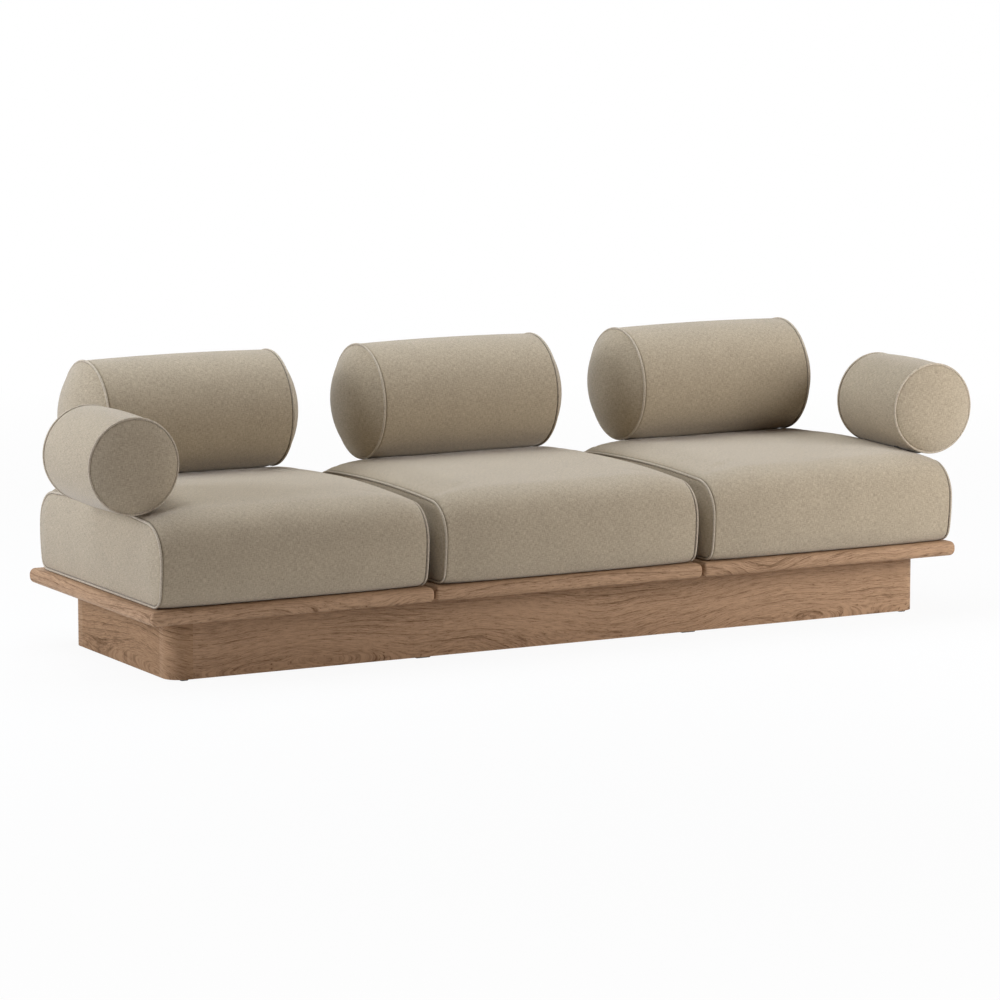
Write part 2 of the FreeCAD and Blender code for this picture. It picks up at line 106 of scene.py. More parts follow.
class Shell:
    """Gathers grids of points and flat caps into one mesh with a UV map in metres."""

    def __init__(self) -> None:
        """Starts empty."""
        self.points: list[Array] = []
        self.faces: list[list[int]] = []
        self.uvs: list[Array] = []
        self.marks: dict[str, list[Array]] = {SEAM_SHADE_MARK: [], HOLD_MARK: []}
        self.open: list[Array] = []
        self.count = 0

    def _add_points(self, points: Array, seam: Array | None, hold: Array | None) -> None:
        """Stores points with their two marks, which are 0 where not given."""
        flat = points.reshape(-1, 3)
        self.points.append(flat)
        for name, given in ((SEAM_SHADE_MARK, seam), (HOLD_MARK, hold)):
            mark = np.zeros(len(flat)) if given is None else np.broadcast_to(given, points.shape[:-1]).ravel()
            self.marks[name].append(mark)
        self.count += len(flat)

    def grid(self, points: Array, uv: Array, closed: bool = False, seam: Array | None = None,
             hold: Array | None = None, opened: Array | None = None) -> None:
        """Adds a grid surface: each cell of four neighbouring points is one face.

        Args:
            points: rows by columns by 3.
            uv: rows by columns by 2, with one column more where the grid is closed.
            closed: the last column meets the first.
            seam: painted shade beside a seam, 0 to 1, per point; it darkens the cloth most in the crease.
            hold: how firmly each point is held while the cloth is inflated, 0 to 1.
            opened: cells that are cut out once the cloth is inflated, rows - 1 by cells across.
        """
        rows, columns = points.shape[:2]
        index = np.arange(rows * columns).reshape(rows, columns) + self.count
        if closed:
            index = np.concatenate([index, index[:, :1]], axis=1)
        cells = np.stack([index[:-1, :-1], index[:-1, 1:], index[1:, 1:], index[1:, :-1]], axis=-1)
        corners = np.stack([uv[:-1, :-1], uv[:-1, 1:], uv[1:, 1:], uv[1:, :-1]], axis=2)
        self.faces += cells.reshape(-1, 4).tolist()
        self.uvs.append(corners.reshape(-1, 2))
        self.open.append(np.zeros(cells.shape[:2], bool).ravel() if opened is None else opened.ravel())
        self._add_points(points, seam, hold)

    def cap(self, ring: Array, uv: Array) -> None:
        """Adds one flat face round a ring of points."""
        self.faces.append(list(range(self.count, self.count + len(ring))))
        self.uvs.append(uv)
        self.open.append(np.zeros(1, bool))
        self._add_points(ring, None, None)

    def build(self, name: str, sharp_angle: float = 40.0) -> Piece:
        """Makes the object, with doubles merged and faces turned outwards.

        Args:
            name: the piece's name.
            sharp_angle: edges that turn by more than this, in degrees, stay crisp.

        Returns:
            The new object, at the origin.
        """
        mesh = bpy.data.meshes.new(name)
        mesh.from_pydata(np.concatenate(self.points), [], self.faces)
        layer = mesh.uv_layers.new(name=UV_NAME)
        layer.data.foreach_set("uv", np.concatenate(self.uvs).astype(np.float32).ravel())
        for mark, values in self.marks.items():
            attribute = mesh.attributes.new(mark, "FLOAT", "POINT")
            attribute.data.foreach_set("value", np.concatenate(values).astype(np.float32))
        openings = mesh.attributes.new(OPEN_MARK, "BOOLEAN", "FACE")
        openings.data.foreach_set("value", np.concatenate(self.open))
        work = bmesh.new()
        work.from_mesh(mesh)
        bmesh.ops.remove_doubles(work, verts=work.verts, dist=MERGE_DISTANCE)
        bmesh.ops.recalc_face_normals(work, faces=work.faces)
        work.to_mesh(mesh)
        work.free()
        mesh.polygons.foreach_set("use_smooth", np.ones(len(mesh.polygons), bool))
        mesh.set_sharp_from_angle(angle=math.radians(sharp_angle))
        piece = bpy.data.objects.new(name, mesh)
        bpy.context.scene.collection.objects.link(piece)
        return piece


def read_points(piece: Piece) -> Array:
    """The piece's points as an array of rows of x, y, z."""
    flat = np.empty(len(piece.data.vertices) * 3, np.float32)
    piece.data.vertices.foreach_get("co", flat)
    return flat.reshape(-1, 3).astype(float)


def write_points(piece: Piece, points: Array) -> None:
    """Puts an array of rows of x, y, z back into the piece."""
    piece.data.vertices.foreach_set("co", points.astype(np.float32).ravel())
    piece.data.update()


def read_mark(piece: Piece, name: str) -> Array:
    """One of the marks kept on the piece's points."""
    values = np.empty(len(piece.data.vertices), np.float32)
    piece.data.attributes[name].data.foreach_get("value", values)
    return values.astype(float)


def cut_openings(piece: Piece) -> None:
    """Takes out the cells that are marked as open."""
    work = bmesh.new()
    work.from_mesh(piece.data)
    mark = work.faces.layers.bool[OPEN_MARK]
    bmesh.ops.delete(work, geom=[face for face in work.faces if face[mark]], context="FACES")
    work.to_mesh(piece.data)
    work.free()


def arc_length(points: Array, axis: int) -> Array:
    """Distance run along an axis of a grid of points, 0 at its start."""
    steps = np.linalg.norm(np.diff(points, axis=axis), axis=-1)
    start = np.zeros_like(np.take(steps, [0], axis=axis))
    return np.concatenate([start, np.cumsum(steps, axis=axis)], axis=axis)


def tube(path: Array, outward: Array, radius: float, sides: int = 12) -> tuple[Array, Array]:
    """A round cord along a closed path.

    Each ring is centre + radius (cos a outward + sin a across), where across is square to the
    path and to the outward direction.

    Args:
        path: points of the closed path.
        outward: unit directions, square to the path.
        radius: the cord's radius.
        sides: points round the cord.

    Returns:
        The closed grid of points and its UV, in metres along and round the cord.
    """
    ahead = np.roll(path, -1, axis=0) - np.roll(path, 1, axis=0)
    ahead /= np.linalg.norm(ahead, axis=1, keepdims=True)
    across = np.cross(ahead, outward)
    turn = np.linspace(0.0, 2.0 * math.pi, sides, endpoint=False)
    ring = (np.cos(turn)[None, :, None] * outward[:, None, :]
            + np.sin(turn)[None, :, None] * across[:, None, :])
    points = path[:, None, :] + radius * ring
    points = np.concatenate([points, points[:1]])
    along = arc_length(np.concatenate([path, path[:1]]), 0)
    round_it = np.linspace(0.0, 2.0 * math.pi * radius, sides + 1)
    uv = np.stack(np.meshgrid(along, round_it, indexing="ij"), axis=-1)
    return points, uv


def nearest_height(cover: Array, x: Array, y: Array, count: int = 4, least: float = 1e-4) -> Array:
    """Height of a cover above or below plan points: the mean of its nearest points, by nearness.

    Args:
        cover: the cover's points, those of one side only.
        x: plan places.
        y: plan places.
        count: how many of the nearest points are taken.
        least: added to each distance, so that none is 0.

    Returns:
        Heights, in the shape of x.
    """
    gap = np.hypot(x.reshape(-1, 1) - cover[None, :, 0], y.reshape(-1, 1) - cover[None, :, 1])
    near = np.argpartition(gap, count, axis=1)[:, :count]
    weight = 1.0 / (np.take_along_axis(gap, near, axis=1) + least) ** 2
    height = (cover[near, 2] * weight).sum(axis=1) / weight.sum(axis=1)
    return height.reshape(x.shape)


def rounded_rings(low: Array, high: Array, insets: Array, corner_radius: float, steps: int) -> Array:
    """Plan rings, each set in from a rectangle, with rounded corners.

    A corner is a quarter round of the corner radius less the inset, and sharp where none is left.

    Args:
        low: the rectangle's lowest corner.
        high: the rectangle's highest corner.
        insets: how far each ring is set in.
        corner_radius: the outermost ring's corner radius.
        steps: steps round each corner.

    Returns:
        Insets by points by 2, from the front left corner onwards.
    """
    radius = np.maximum(corner_radius - insets, 0.0)[:, None]
    centre = np.maximum(corner_radius, insets)[:, None]
    angle = np.linspace(0.0, math.pi / 2, steps + 1)
    corners = []
    for number, (right, deep) in enumerate(((False, False), (True, False), (True, True), (False, True))):
        turn = angle + math.pi + number * math.pi / 2
        x = (high[0] - centre if right else low[0] + centre) + radius * np.cos(turn)
        y = (high[1] - centre if deep else low[1] + centre) + radius * np.sin(turn)
        corners.append(np.stack([x, y], axis=-1))
    return np.concatenate(corners, axis=1)


def raised(plan: Array, heights: Array) -> Array:
    """Plan rings, rows by points by 2, each set at its own height."""
    z = np.broadcast_to(heights[:, None, None], (*plan.shape[:2], 1))
    return np.concatenate([plan, z], axis=2)


def spread(sections: Array, places: Array) -> Array:
    """Sections of y and z, rows by points by 2, each set at its own place along X."""
    x = np.broadcast_to(places[:, None, None], (*sections.shape[:2], 1))
    return np.concatenate([x, sections], axis=2)


# Shader nodes


class NodeSheet:
    """Writes nodes into one tree. An input may be a number, a colour or another node's socket."""

    def __init__(self, tree: bpy.types.NodeTree) -> None:
        """Keeps the tree."""
        self.tree = tree

    def node(self, kind: str, inputs: dict[Any, Any] | None = None, **settings: Any) -> bpy.types.Node:
        """Adds a node, sets its properties and fills its inputs.

        Args:
            kind: the node's type name.
            inputs: socket name or number to value or socket.
            settings: properties of the node.

        Returns:
            The new node.
        """
        made = self.tree.nodes.new(kind)
        for name, value in settings.items():
            setattr(made, name, value)
        for name, value in (inputs or {}).items():
            if isinstance(value, Socket):
                self.tree.links.new(value, made.inputs[name])
            else:
                made.inputs[name].default_value = value
        return made

    def math(self, operation: str, *terms: Any) -> Socket:
        """One step of arithmetic."""
        return self.node("ShaderNodeMath", dict(enumerate(terms)), operation=operation).outputs[0]

    def noise(self, vector: Any, scale: float, detail: float = 2.0, roughness: float = 0.5) -> Socket:
        """Noise from 0 to 1."""
        values = {"Vector": vector, "Scale": scale, "Detail": detail, "Roughness": roughness}
        return self.node("ShaderNodeTexNoise", values).outputs["Fac"]

    def stretched(self, vector: Any, scale: Sequence[float]) -> Socket:
        """The vector with each part multiplied."""
        terms = {0: vector, 1: tuple(scale)}
        return self.node("ShaderNodeVectorMath", terms, operation="MULTIPLY").outputs[0]

    def ramp(self, value: Any, low: float, high: float, to_low: float, to_high: float) -> Socket:
        """A clamped straight ramp."""
        terms = {0: value, 1: low, 2: high, 3: to_low, 4: to_high}
        return self.node("ShaderNodeMapRange", terms, clamp=True).outputs[0]

    def mix(self, share: Any, low: Any, high: Any) -> Socket:
        """A blend of two colours."""
        made = self.node("ShaderNodeMix", {0: share, 6: low, 7: high}, data_type="RGBA")
        return made.outputs[2]

    def seen(self) -> Socket:
        """1 where the camera looks, straight, in a mirror or through glass, and 0 for other light."""
        path = self.node("ShaderNodeLightPath").outputs
        straight = self.math("MAXIMUM", path["Is Camera Ray"], path["Is Glossy Ray"])
        return self.math("MAXIMUM", straight, path["Is Transmission Ray"])

    def scaled(self, colour: Any, share: Any) -> Socket:
        """A colour multiplied by a value."""
        return self.node("ShaderNodeVectorMath", {0: colour, "Scale": share}, operation="SCALE").outputs[0]


def new_group(name: str, inputs: dict[str, str], outputs: dict[str, str]) -> tuple[NodeSheet, Any, Any]:
    """Starts a shader node group.

    Args:
        name: the group's name.
        inputs: socket name to socket kind.
        outputs: socket name to socket kind.

    Returns:
        A sheet to write on, and the group's input and output nodes.
    """
    tree = bpy.data.node_groups.new(name, "ShaderNodeTree")
    for way, sockets in (("INPUT", inputs), ("OUTPUT", outputs)):
        for socket, kind in sockets.items():
            tree.interface.new_socket(name=socket, in_out=way, socket_type="NodeSocket" + kind)
    sheet = NodeSheet(tree)
    return sheet, sheet.node("NodeGroupInput"), sheet.node("NodeGroupOutput")


def close_group(sheet: NodeSheet, end: Any, results: dict[str, Any]) -> bpy.types.NodeTree:
    """Links the results to the group's outputs and hands the group back."""
    for name, socket in results.items():
        sheet.tree.links.new(socket, end.inputs[name])
    return sheet.tree


def linen_group() -> bpy.types.NodeTree:
    """Plain weave with slubs.

    Threads: across each thread the height is the size of sin(pi u / pitch), and it goes over and
    under by a sine of the other direction, shifted by half a turn from one thread to the next.
    Slubs: noise drawn out along each of the two thread directions. Clouds: broad soft noise. Beside seams the
    colour is darkened by up to 55 percent: painted shade in the creases.
    """
    sheet, given, end = new_group(
        "linen_weave", {"Vector": "Vector", "Cloth": "Color", "Pitch": "Float", "Seam": "Float"},
        {"Color": "Color", "Roughness": "Float", "Height": "Float"})
    flat = given.outputs["Vector"]
    parts = sheet.node("ShaderNodeSeparateXYZ", {0: flat}).outputs
    along = sheet.math("DIVIDE", parts[0], given.outputs["Pitch"])
    across = sheet.math("DIVIDE", parts[1], given.outputs["Pitch"])
    threads = []
    for one, other, turn in ((along, across, 0.0), (across, along, math.pi)):
        body = sheet.math("ABSOLUTE", sheet.math("SINE", sheet.math("MULTIPLY", one, math.pi)))
        step = sheet.math("MULTIPLY_ADD", sheet.math("FLOOR", one), math.pi, turn)
        swing = sheet.math("SINE", sheet.math("MULTIPLY_ADD", other, math.pi, step))
        threads.append(sheet.math("MULTIPLY", body, sheet.math("MULTIPLY_ADD", swing, 0.4, 0.6)))
    thread = sheet.math("MAXIMUM", *threads)
    slub_along = sheet.noise(sheet.stretched(flat, (95.0, 600.0, 1.0)), 1.0, 3.0, 0.6)
    slub_across = sheet.noise(sheet.stretched(flat, (600.0, 95.0, 1.0)), 1.0, 3.0, 0.6)
    slub = sheet.math("MULTIPLY", sheet.math("ADD", slub_along, slub_across), 0.5)
    cloud = sheet.noise(flat, 14.0, 3.0, 0.55)
    fleck = sheet.ramp(sheet.noise(flat, 900.0, 1.0), 0.62, 0.75, 0.0, 1.0)
    tone = sheet.math("MULTIPLY_ADD", slub, 2.2, -0.1)
    tone = sheet.math("ADD", tone, sheet.math("MULTIPLY_ADD", cloud, 0.16, -0.08))
    tone = sheet.math("ADD", tone, sheet.math("MULTIPLY_ADD", thread, 0.3, -0.18))
    tone = sheet.math("SUBTRACT", tone, sheet.math("MULTIPLY", fleck, 0.09))
    # Painted shade: the colour darkens towards the creases beside seams
    shade = sheet.math("MULTIPLY_ADD", given.outputs["Seam"], -0.55, 1.0)
    colour = sheet.scaled(given.outputs["Cloth"], sheet.math("MULTIPLY", tone, shade))
    rough = sheet.math("MULTIPLY_ADD", slub, -0.2, 0.95)
    height = sheet.math("MULTIPLY_ADD", slub, 1.2, thread)
    return close_group(sheet, end, {"Color": colour, "Roughness": rough, "Height": height})


def grain_group() -> bpy.types.NodeTree:
    """Wood cut through its growth rings, with the grain along the vector's first part.

    A ring's size is the root of (across the board)^2 + (depth below the face)^2; the depth drifts
    along the grain by slow noise and the middle leans, so the rings close in long slanting arches.
    The share of the way through each ring darkens it slowly and then drops, in patches. Fibres,
    pores and clouds are noise drawn out along lines of equal ring size, so they flow round the arches.
    """
    sheet, given, end = new_group(
        "wood_grain", {"Vector": "Vector", "Pale": "Color", "Dark": "Color", "Ring Width": "Float"},
        {"Color": "Color", "Roughness": "Float", "Height": "Float"})
    flat = given.outputs["Vector"]
    drift = sheet.noise(sheet.stretched(flat, (1.5, 3.0, 1.0)), 1.0, 2.0)
    waver = sheet.noise(sheet.stretched(flat, (5.0, 26.0, 1.0)), 1.0, 3.0)
    run, across, _ = sheet.node("ShaderNodeSeparateXYZ", {0: flat}).outputs
    across = sheet.math("ADD", across, sheet.math("MULTIPLY_ADD", waver, 0.016, -0.008))
    lean = sheet.noise(sheet.stretched(flat, (1.3, 1.0, 1.0)), 1.0, 1.0)
    across = sheet.math("ADD", across, sheet.math("MULTIPLY_ADD", lean, 0.16, -0.08))
    depth = sheet.math("MULTIPLY_ADD", drift, 0.22, -0.07)
    squares = [sheet.math("POWER", part, 2.0) for part in (depth, across)]
    size = sheet.math("SQRT", sheet.math("ADD", *squares))
    share = sheet.math("FRACT", sheet.math("DIVIDE", size, given.outputs["Ring Width"]))
    late = sheet.math("POWER", share, 4.5)
    edge = sheet.ramp(share, 0.93, 1.0, 1.0, 0.0)
    patch = sheet.ramp(sheet.noise(sheet.stretched(flat, (3.0, 34.0, 1.0)), 1.0, 2.0), 0.4, 0.64, 0.0, 1.0)
    ring = sheet.math("MULTIPLY", sheet.math("MULTIPLY", late, edge), patch)
    level = sheet.math("MULTIPLY_ADD", across, 0.3, size)
    flow = sheet.node("ShaderNodeCombineXYZ", {0: run, 1: level}).outputs[0]
    fibre = sheet.noise(sheet.stretched(flow, (30.0, 460.0, 1.0)), 1.0, 4.0, 0.65)
    pore = sheet.ramp(sheet.noise(sheet.stretched(flow, (100.0, 640.0, 1.0)), 1.0, 2.0), 0.6, 0.72, 0.0, 1.0)
    cloud = sheet.noise(sheet.stretched(flow, (2.6, 26.0, 1.0)), 1.0, 4.0, 0.6)
    dark = sheet.math("MULTIPLY_ADD", ring, 0.8, -0.05)
    dark = sheet.math("ADD", dark, sheet.math("MULTIPLY_ADD", fibre, 2.7, -1.195))
    dark = sheet.math("ADD", dark, sheet.math("MULTIPLY_ADD", cloud, 0.9, -0.38))
    dark = sheet.math("ADD", dark, sheet.math("MULTIPLY", pore, 0.6))
    share_dark = sheet.ramp(dark, 0.0, 1.0, 0.0, 1.0)
    colour = sheet.mix(share_dark, given.outputs["Pale"], given.outputs["Dark"])
    rough = sheet.math("MULTIPLY_ADD", share_dark, 0.16, 0.46)
    height = sheet.math("SUBTRACT", sheet.math("MULTIPLY", fibre, 0.6), sheet.math("MULTIPLY", pore, 0.8))
    return close_group(sheet, end, {"Color": colour, "Roughness": rough, "Height": height})


def streak_group() -> bpy.types.NodeTree:
    """Fine streaks along Z and soft blotches, for drawn or moulded surfaces."""
    sheet, given, end = new_group(
        "fine_streaks", {"Vector": "Vector", "Tone": "Color"},
        {"Color": "Color", "Roughness": "Float", "Height": "Float"})
    flat = given.outputs["Vector"]
    streak = sheet.noise(sheet.stretched(flat, (900.0, 900.0, 22.0)), 1.0, 2.0)
    blotch = sheet.noise(flat, 40.0, 3.0)
    tone = sheet.math("MULTIPLY_ADD", streak, 0.3, 0.7)
    tone = sheet.math("MULTIPLY_ADD", blotch, 0.3, tone)
    colour = sheet.scaled(given.outputs["Tone"], tone)
    rough = sheet.math("MULTIPLY_ADD", blotch, 0.25, sheet.math("MULTIPLY_ADD", streak, 0.15, 0.2))
    return close_group(sheet, end, {"Color": colour, "Roughness": rough, "Height": streak})


GROUPS = {"linen": linen_group(), "grain": grain_group(), "streak": streak_group()}


def start_material(name: str) -> tuple[bpy.types.Material, NodeSheet, Any]:
    """A material with an empty sheet and its surface shader.

    Returns:
        The material, the sheet and the shader node.
    """
    material = bpy.data.materials.new(name)
    material.use_nodes = True
    material.node_tree.nodes.clear()
    sheet = NodeSheet(material.node_tree)
    shader = sheet.node("ShaderNodeBsdfPrincipled")
    sheet.node("ShaderNodeOutputMaterial", {"Surface": shader.outputs[0]})
    return material, sheet, shader


def place_group(sheet: NodeSheet, shader: Any, group: str, inputs: dict[str, Any],
                bump: float, depth: float) -> None:
    """Places a shared group and leads its colour, roughness and height to the shader.

    Args:
        sheet: the material's sheet.
        shader: the surface shader.
        group: which shared group.
        inputs: the group's values in this material.
        bump: strength of the relief.
        depth: full height of the relief, in metres.
    """
    made = sheet.node("ShaderNodeGroup", inputs, node_tree=GROUPS[group])
    links = sheet.tree.links
    links.new(made.outputs["Color"], shader.inputs["Base Color"])
    links.new(made.outputs["Roughness"], shader.inputs["Roughness"])
    relief = sheet.node("ShaderNodeBump", {"Strength": bump, "Distance": depth,
                                           "Height": made.outputs["Height"]})
    links.new(relief.outputs[0], shader.inputs["Normal"])


@dataclass(frozen=True)
class ClothFinish:
    """A woven cloth laid out by the piece's own UV map."""

    name: str
    colour: Colour
    pitch: float = 0.0011
    sheen: float = 0.35
    sheen_roughness: float = 0.5
    sheen_tint: Colour = (1.0, 0.985, 0.96)
    specular: float = 0.03
    bump: float = 0.35
    relief: float = 0.0006

    def material(self) -> bpy.types.Material:
        """Builds the cloth's material."""
        material, sheet, shader = start_material(self.name)
        shader.inputs["Sheen Weight"].default_value = self.sheen
        shader.inputs["Sheen Roughness"].default_value = self.sheen_roughness
        shader.inputs["Sheen Tint"].default_value = (*self.sheen_tint, 1.0)
        shader.inputs["Specular IOR Level"].default_value = self.specular
        cut = sheet.node("ShaderNodeUVMap", uv_map=UV_NAME).outputs[0]
        # The seam mark carries painted shade that darkens the cloth in the creases beside seams
        seam = sheet.node("ShaderNodeAttribute", attribute_name=SEAM_SHADE_MARK).outputs["Fac"]
        values = {"Vector": cut, "Cloth": (*self.colour, 1.0), "Pitch": self.pitch, "Seam": seam}
        place_group(sheet, shader, "linen", values, self.bump, self.relief)
        return material


@dataclass(frozen=True)
class WoodFinish:
    """Timber with its grain along the UV map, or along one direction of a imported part."""

    name: str
    pale: Colour
    dark: Colour
    ring_width: float = 0.013
    along: tuple[float, float, float] | None = None
    weights: tuple[float, float, float] = (0.8, 0.6, 1.0)
    specular: float = 0.06
    bump: float = 0.25
    relief: float = 0.0004

    def material(self) -> bpy.types.Material:
        """Builds the timber's material.

        Where a direction is given, the grain runs along it and the other two directions add up to
        the distance across, so that every face of a block shows lines.
        """
        material, sheet, shader = start_material(self.name)
        shader.inputs["Specular IOR Level"].default_value = self.specular
        if self.along is None:
            vector = sheet.node("ShaderNodeUVMap", uv_map=UV_NAME).outputs[0]
        else:
            place = sheet.node("ShaderNodeTexCoord").outputs["Object"]
            rest = tuple(0.0 if part else weight for part, weight in zip(self.along, self.weights))
            run, over = (sheet.node("ShaderNodeVectorMath", {0: place, 1: way},
                                    operation="DOT_PRODUCT").outputs["Value"] for way in (self.along, rest))
            vector = sheet.node("ShaderNodeCombineXYZ", {0: run, 1: over}).outputs[0]
        values = {"Vector": vector, "Pale": (*self.pale, 1.0), "Dark": (*self.dark, 1.0),
                  "Ring Width": self.ring_width}
        place_group(sheet, shader, "grain", values, self.bump, self.relief)
        return material


@dataclass(frozen=True)
class HardFinish:
    """Drawn steel or moulded plastic, laid out on object coordinates."""

    name: str
    tone: Colour
    metallic: float
    bump: float = 0.15
    relief: float = 0.0002

    def material(self) -> bpy.types.Material:
        """Builds the hard surface's material."""
        material, sheet, shader = start_material(self.name)
        shader.inputs["Metallic"].default_value = self.metallic
        place = sheet.node("ShaderNodeTexCoord").outputs["Object"]
        values = {"Vector": place, "Tone": (*self.tone, 1.0)}
        place_group(sheet, shader, "streak", values, self.bump, self.relief)
        return material


CLOTH = ClothFinish("beige_linen", (0.412, 0.344, 0.244)).material()
# The piping's linen is paler than the cover's: painted highlight along the raised cords
PIPING_CLOTH_PAINTED_HIGHLIGHT = ClothFinish("beige_linen_piping_painted_highlight", (0.5, 0.43, 0.328), pitch=0.0009).material()
LINING = ClothFinish("lining_cloth", (0.12, 0.1, 0.078), sheen=0.1).material()
OAK = WoodFinish("oiled_oak", (0.478, 0.31, 0.189), (0.16, 0.089, 0.047)).material()
# Darker oak for the plinth's two ends: painted shade, as under the boards' overhang
OAK_SHADED_ENDS = WoodFinish("oiled_oak_ends_painted_shade", (0.37, 0.225, 0.122), (0.124, 0.065, 0.031)).material()
# Darker oak for the left-hand posts: painted shade on their round corners
OAK_SHADED_POSTS = WoodFinish("oiled_oak_posts_painted_shade", (0.425, 0.268, 0.155), (0.142, 0.077, 0.039)).material()
PLYWOOD_ALONG, PLYWOOD_ACROSS = (
    WoodFinish("plywood_" + way, (0.62, 0.47, 0.31), (0.43, 0.3, 0.18), along=along).material()
    for way, along in (("along", (1.0, 0.0, 0.0)), ("across", (0.0, 1.0, 0.0))))
STEEL = HardFinish("drawn_steel", (0.16, 0.155, 0.15), 1.0).material()
GLIDE_PLASTIC = HardFinish("glide_plastic", (0.025, 0.023, 0.021), 0.0).material()


def dress(piece: Piece, material: bpy.types.Material) -> None:
    """Gives a piece one material."""
    piece.data.materials.clear()
    piece.data.materials.append(material)


def set_on_body(piece: Piece, body: str, nodes: Sequence[str] = ()) -> None:
    """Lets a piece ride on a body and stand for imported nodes."""
    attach(piece, body)
    if nodes:
        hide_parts(*nodes)
    log.info("%s rides on %s", piece.name, body)


# Base


@dataclass
class Plinth:
    """Oak panels, ends and round-cornered posts, with the grain running on round the outside."""

    post_size: float = 0.060
    corner_radius: float = 0.042
    corner_steps: int = 16

    def prism(self, shell: Shell, ring: Array, runs: Array, low: float, high: float) -> None:
        """Adds an upright solid: a plan ring carried straight up, with flat ends.

        Args:
            shell: where it goes.
            ring: plan points, the outer face first.
            runs: grain distance at each point and at the first again.
            low: lower end.
            high: upper end.
        """
        heights = np.array([low, high])
        points = raised(np.broadcast_to(ring, (2, *ring.shape)), heights)
        uv = np.stack(np.meshgrid(heights, runs, indexing="ij")[::-1], axis=-1)
        shell.grid(points, uv, closed=True)
        for end in range(2):
            shell.cap(points[end], ring + runs[0])

    @staticmethod
    def corners(low: Array, high: Array) -> Array:
        """Plan corners of a box, from the front left one anticlockwise."""
        return np.array([[low[0], low[1]], [high[0], low[1]], [high[0], high[1]], [low[0], high[1]]])

    def post_ring(self, corner: Array, inward: Array, turn: bool) -> Array:
        """Plan of a post: a square whose outer corner is a quarter round.

        Args:
            corner: where the square's outer corner would be.
            inward: signs of the directions towards the plinth's middle.
            turn: start on the side along Y, so that the outer face still runs on anticlockwise.

        Returns:
            Plan points, along the outer face first and then back inside.
        """
        angle = np.linspace(0.0, math.pi / 2, self.corner_steps + 1)
        round_x = self.corner_radius * (1 - np.sin(angle))
        round_y = self.corner_radius * (1 - np.cos(angle))
        across = np.concatenate([[self.post_size], round_x, [0.0, self.post_size]])
        deep = np.concatenate([[0.0], round_y, [self.post_size, self.post_size]])
        ring = np.stack([corner[0] + inward[0] * across, corner[1] + inward[1] * deep], axis=1)
        if turn:
            ring = np.concatenate([ring[-2::-1], ring[-1:]])
        return ring

    def build(self) -> None:
        """Builds the panels, ends and posts, each run of grain going on from the one before."""
        names = ("front_panel", "right_end", "back_panel", "left_end")
        boxes = np.array([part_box("plinth_" + name) for name in names])
        outer = self.corners(boxes.min(axis=(0, 1)), boxes.max(axis=(0, 1)))
        inward = -np.sign(outer - outer.mean(axis=0))
        bottom, top = boxes[0, :, 2]
        thick = boxes[0, 1, 1] - boxes[0, 0, 1]
        posts = Shell()
        reached = 0.0
        for number, (name, box) in enumerate(zip(names, boxes)):
            ring = np.roll(self.corners(*box), -number, axis=0)
            length = float(np.linalg.norm(ring[1] - ring[0]))
            runs = reached + np.array([0.0, length, length + thick, 2 * length + thick, 2 * (length + thick)])
            panel = Shell()
            self.prism(panel, ring, runs, bottom, top)
            piece = panel.build("oak_" + name)
            # The ends take the darker oak: painted shade
            dress(piece, OAK_SHADED_ENDS if name.endswith("end") else OAK)
            set_on_body(piece, "base", ["plinth_" + name])
            reached += length
            end = (number + 1) % len(names)
            plan = self.post_ring(outer[end], inward[end], turn=number % 2 == 1)
            steps = arc_length(np.concatenate([plan, plan[:1]]), 0)
            self.prism(posts, plan, reached + steps, bottom, top)
            reached += float(steps[self.corner_steps + 2])
        piece = posts.build("oak_corner_posts")
        dress(piece, OAK)
        # Posts left of the middle (x < 0) take the darker oak: painted shade
        piece.data.materials.append(OAK_SHADED_POSTS)
        middles = np.empty(len(piece.data.polygons) * 3, np.float32)
        piece.data.polygons.foreach_get("center", middles)
        piece.data.polygons.foreach_set("material_index", (middles[::3] < 0).astype(np.int32))
        set_on_body(piece, "base", ["plinth_corner_posts"])


# Where each board's grain starts, so that no two boards look alike
GRAIN_STARTS = {Side.LEFT: 0.37, Side.MIDDLE: 1.91, Side.RIGHT: 3.13}


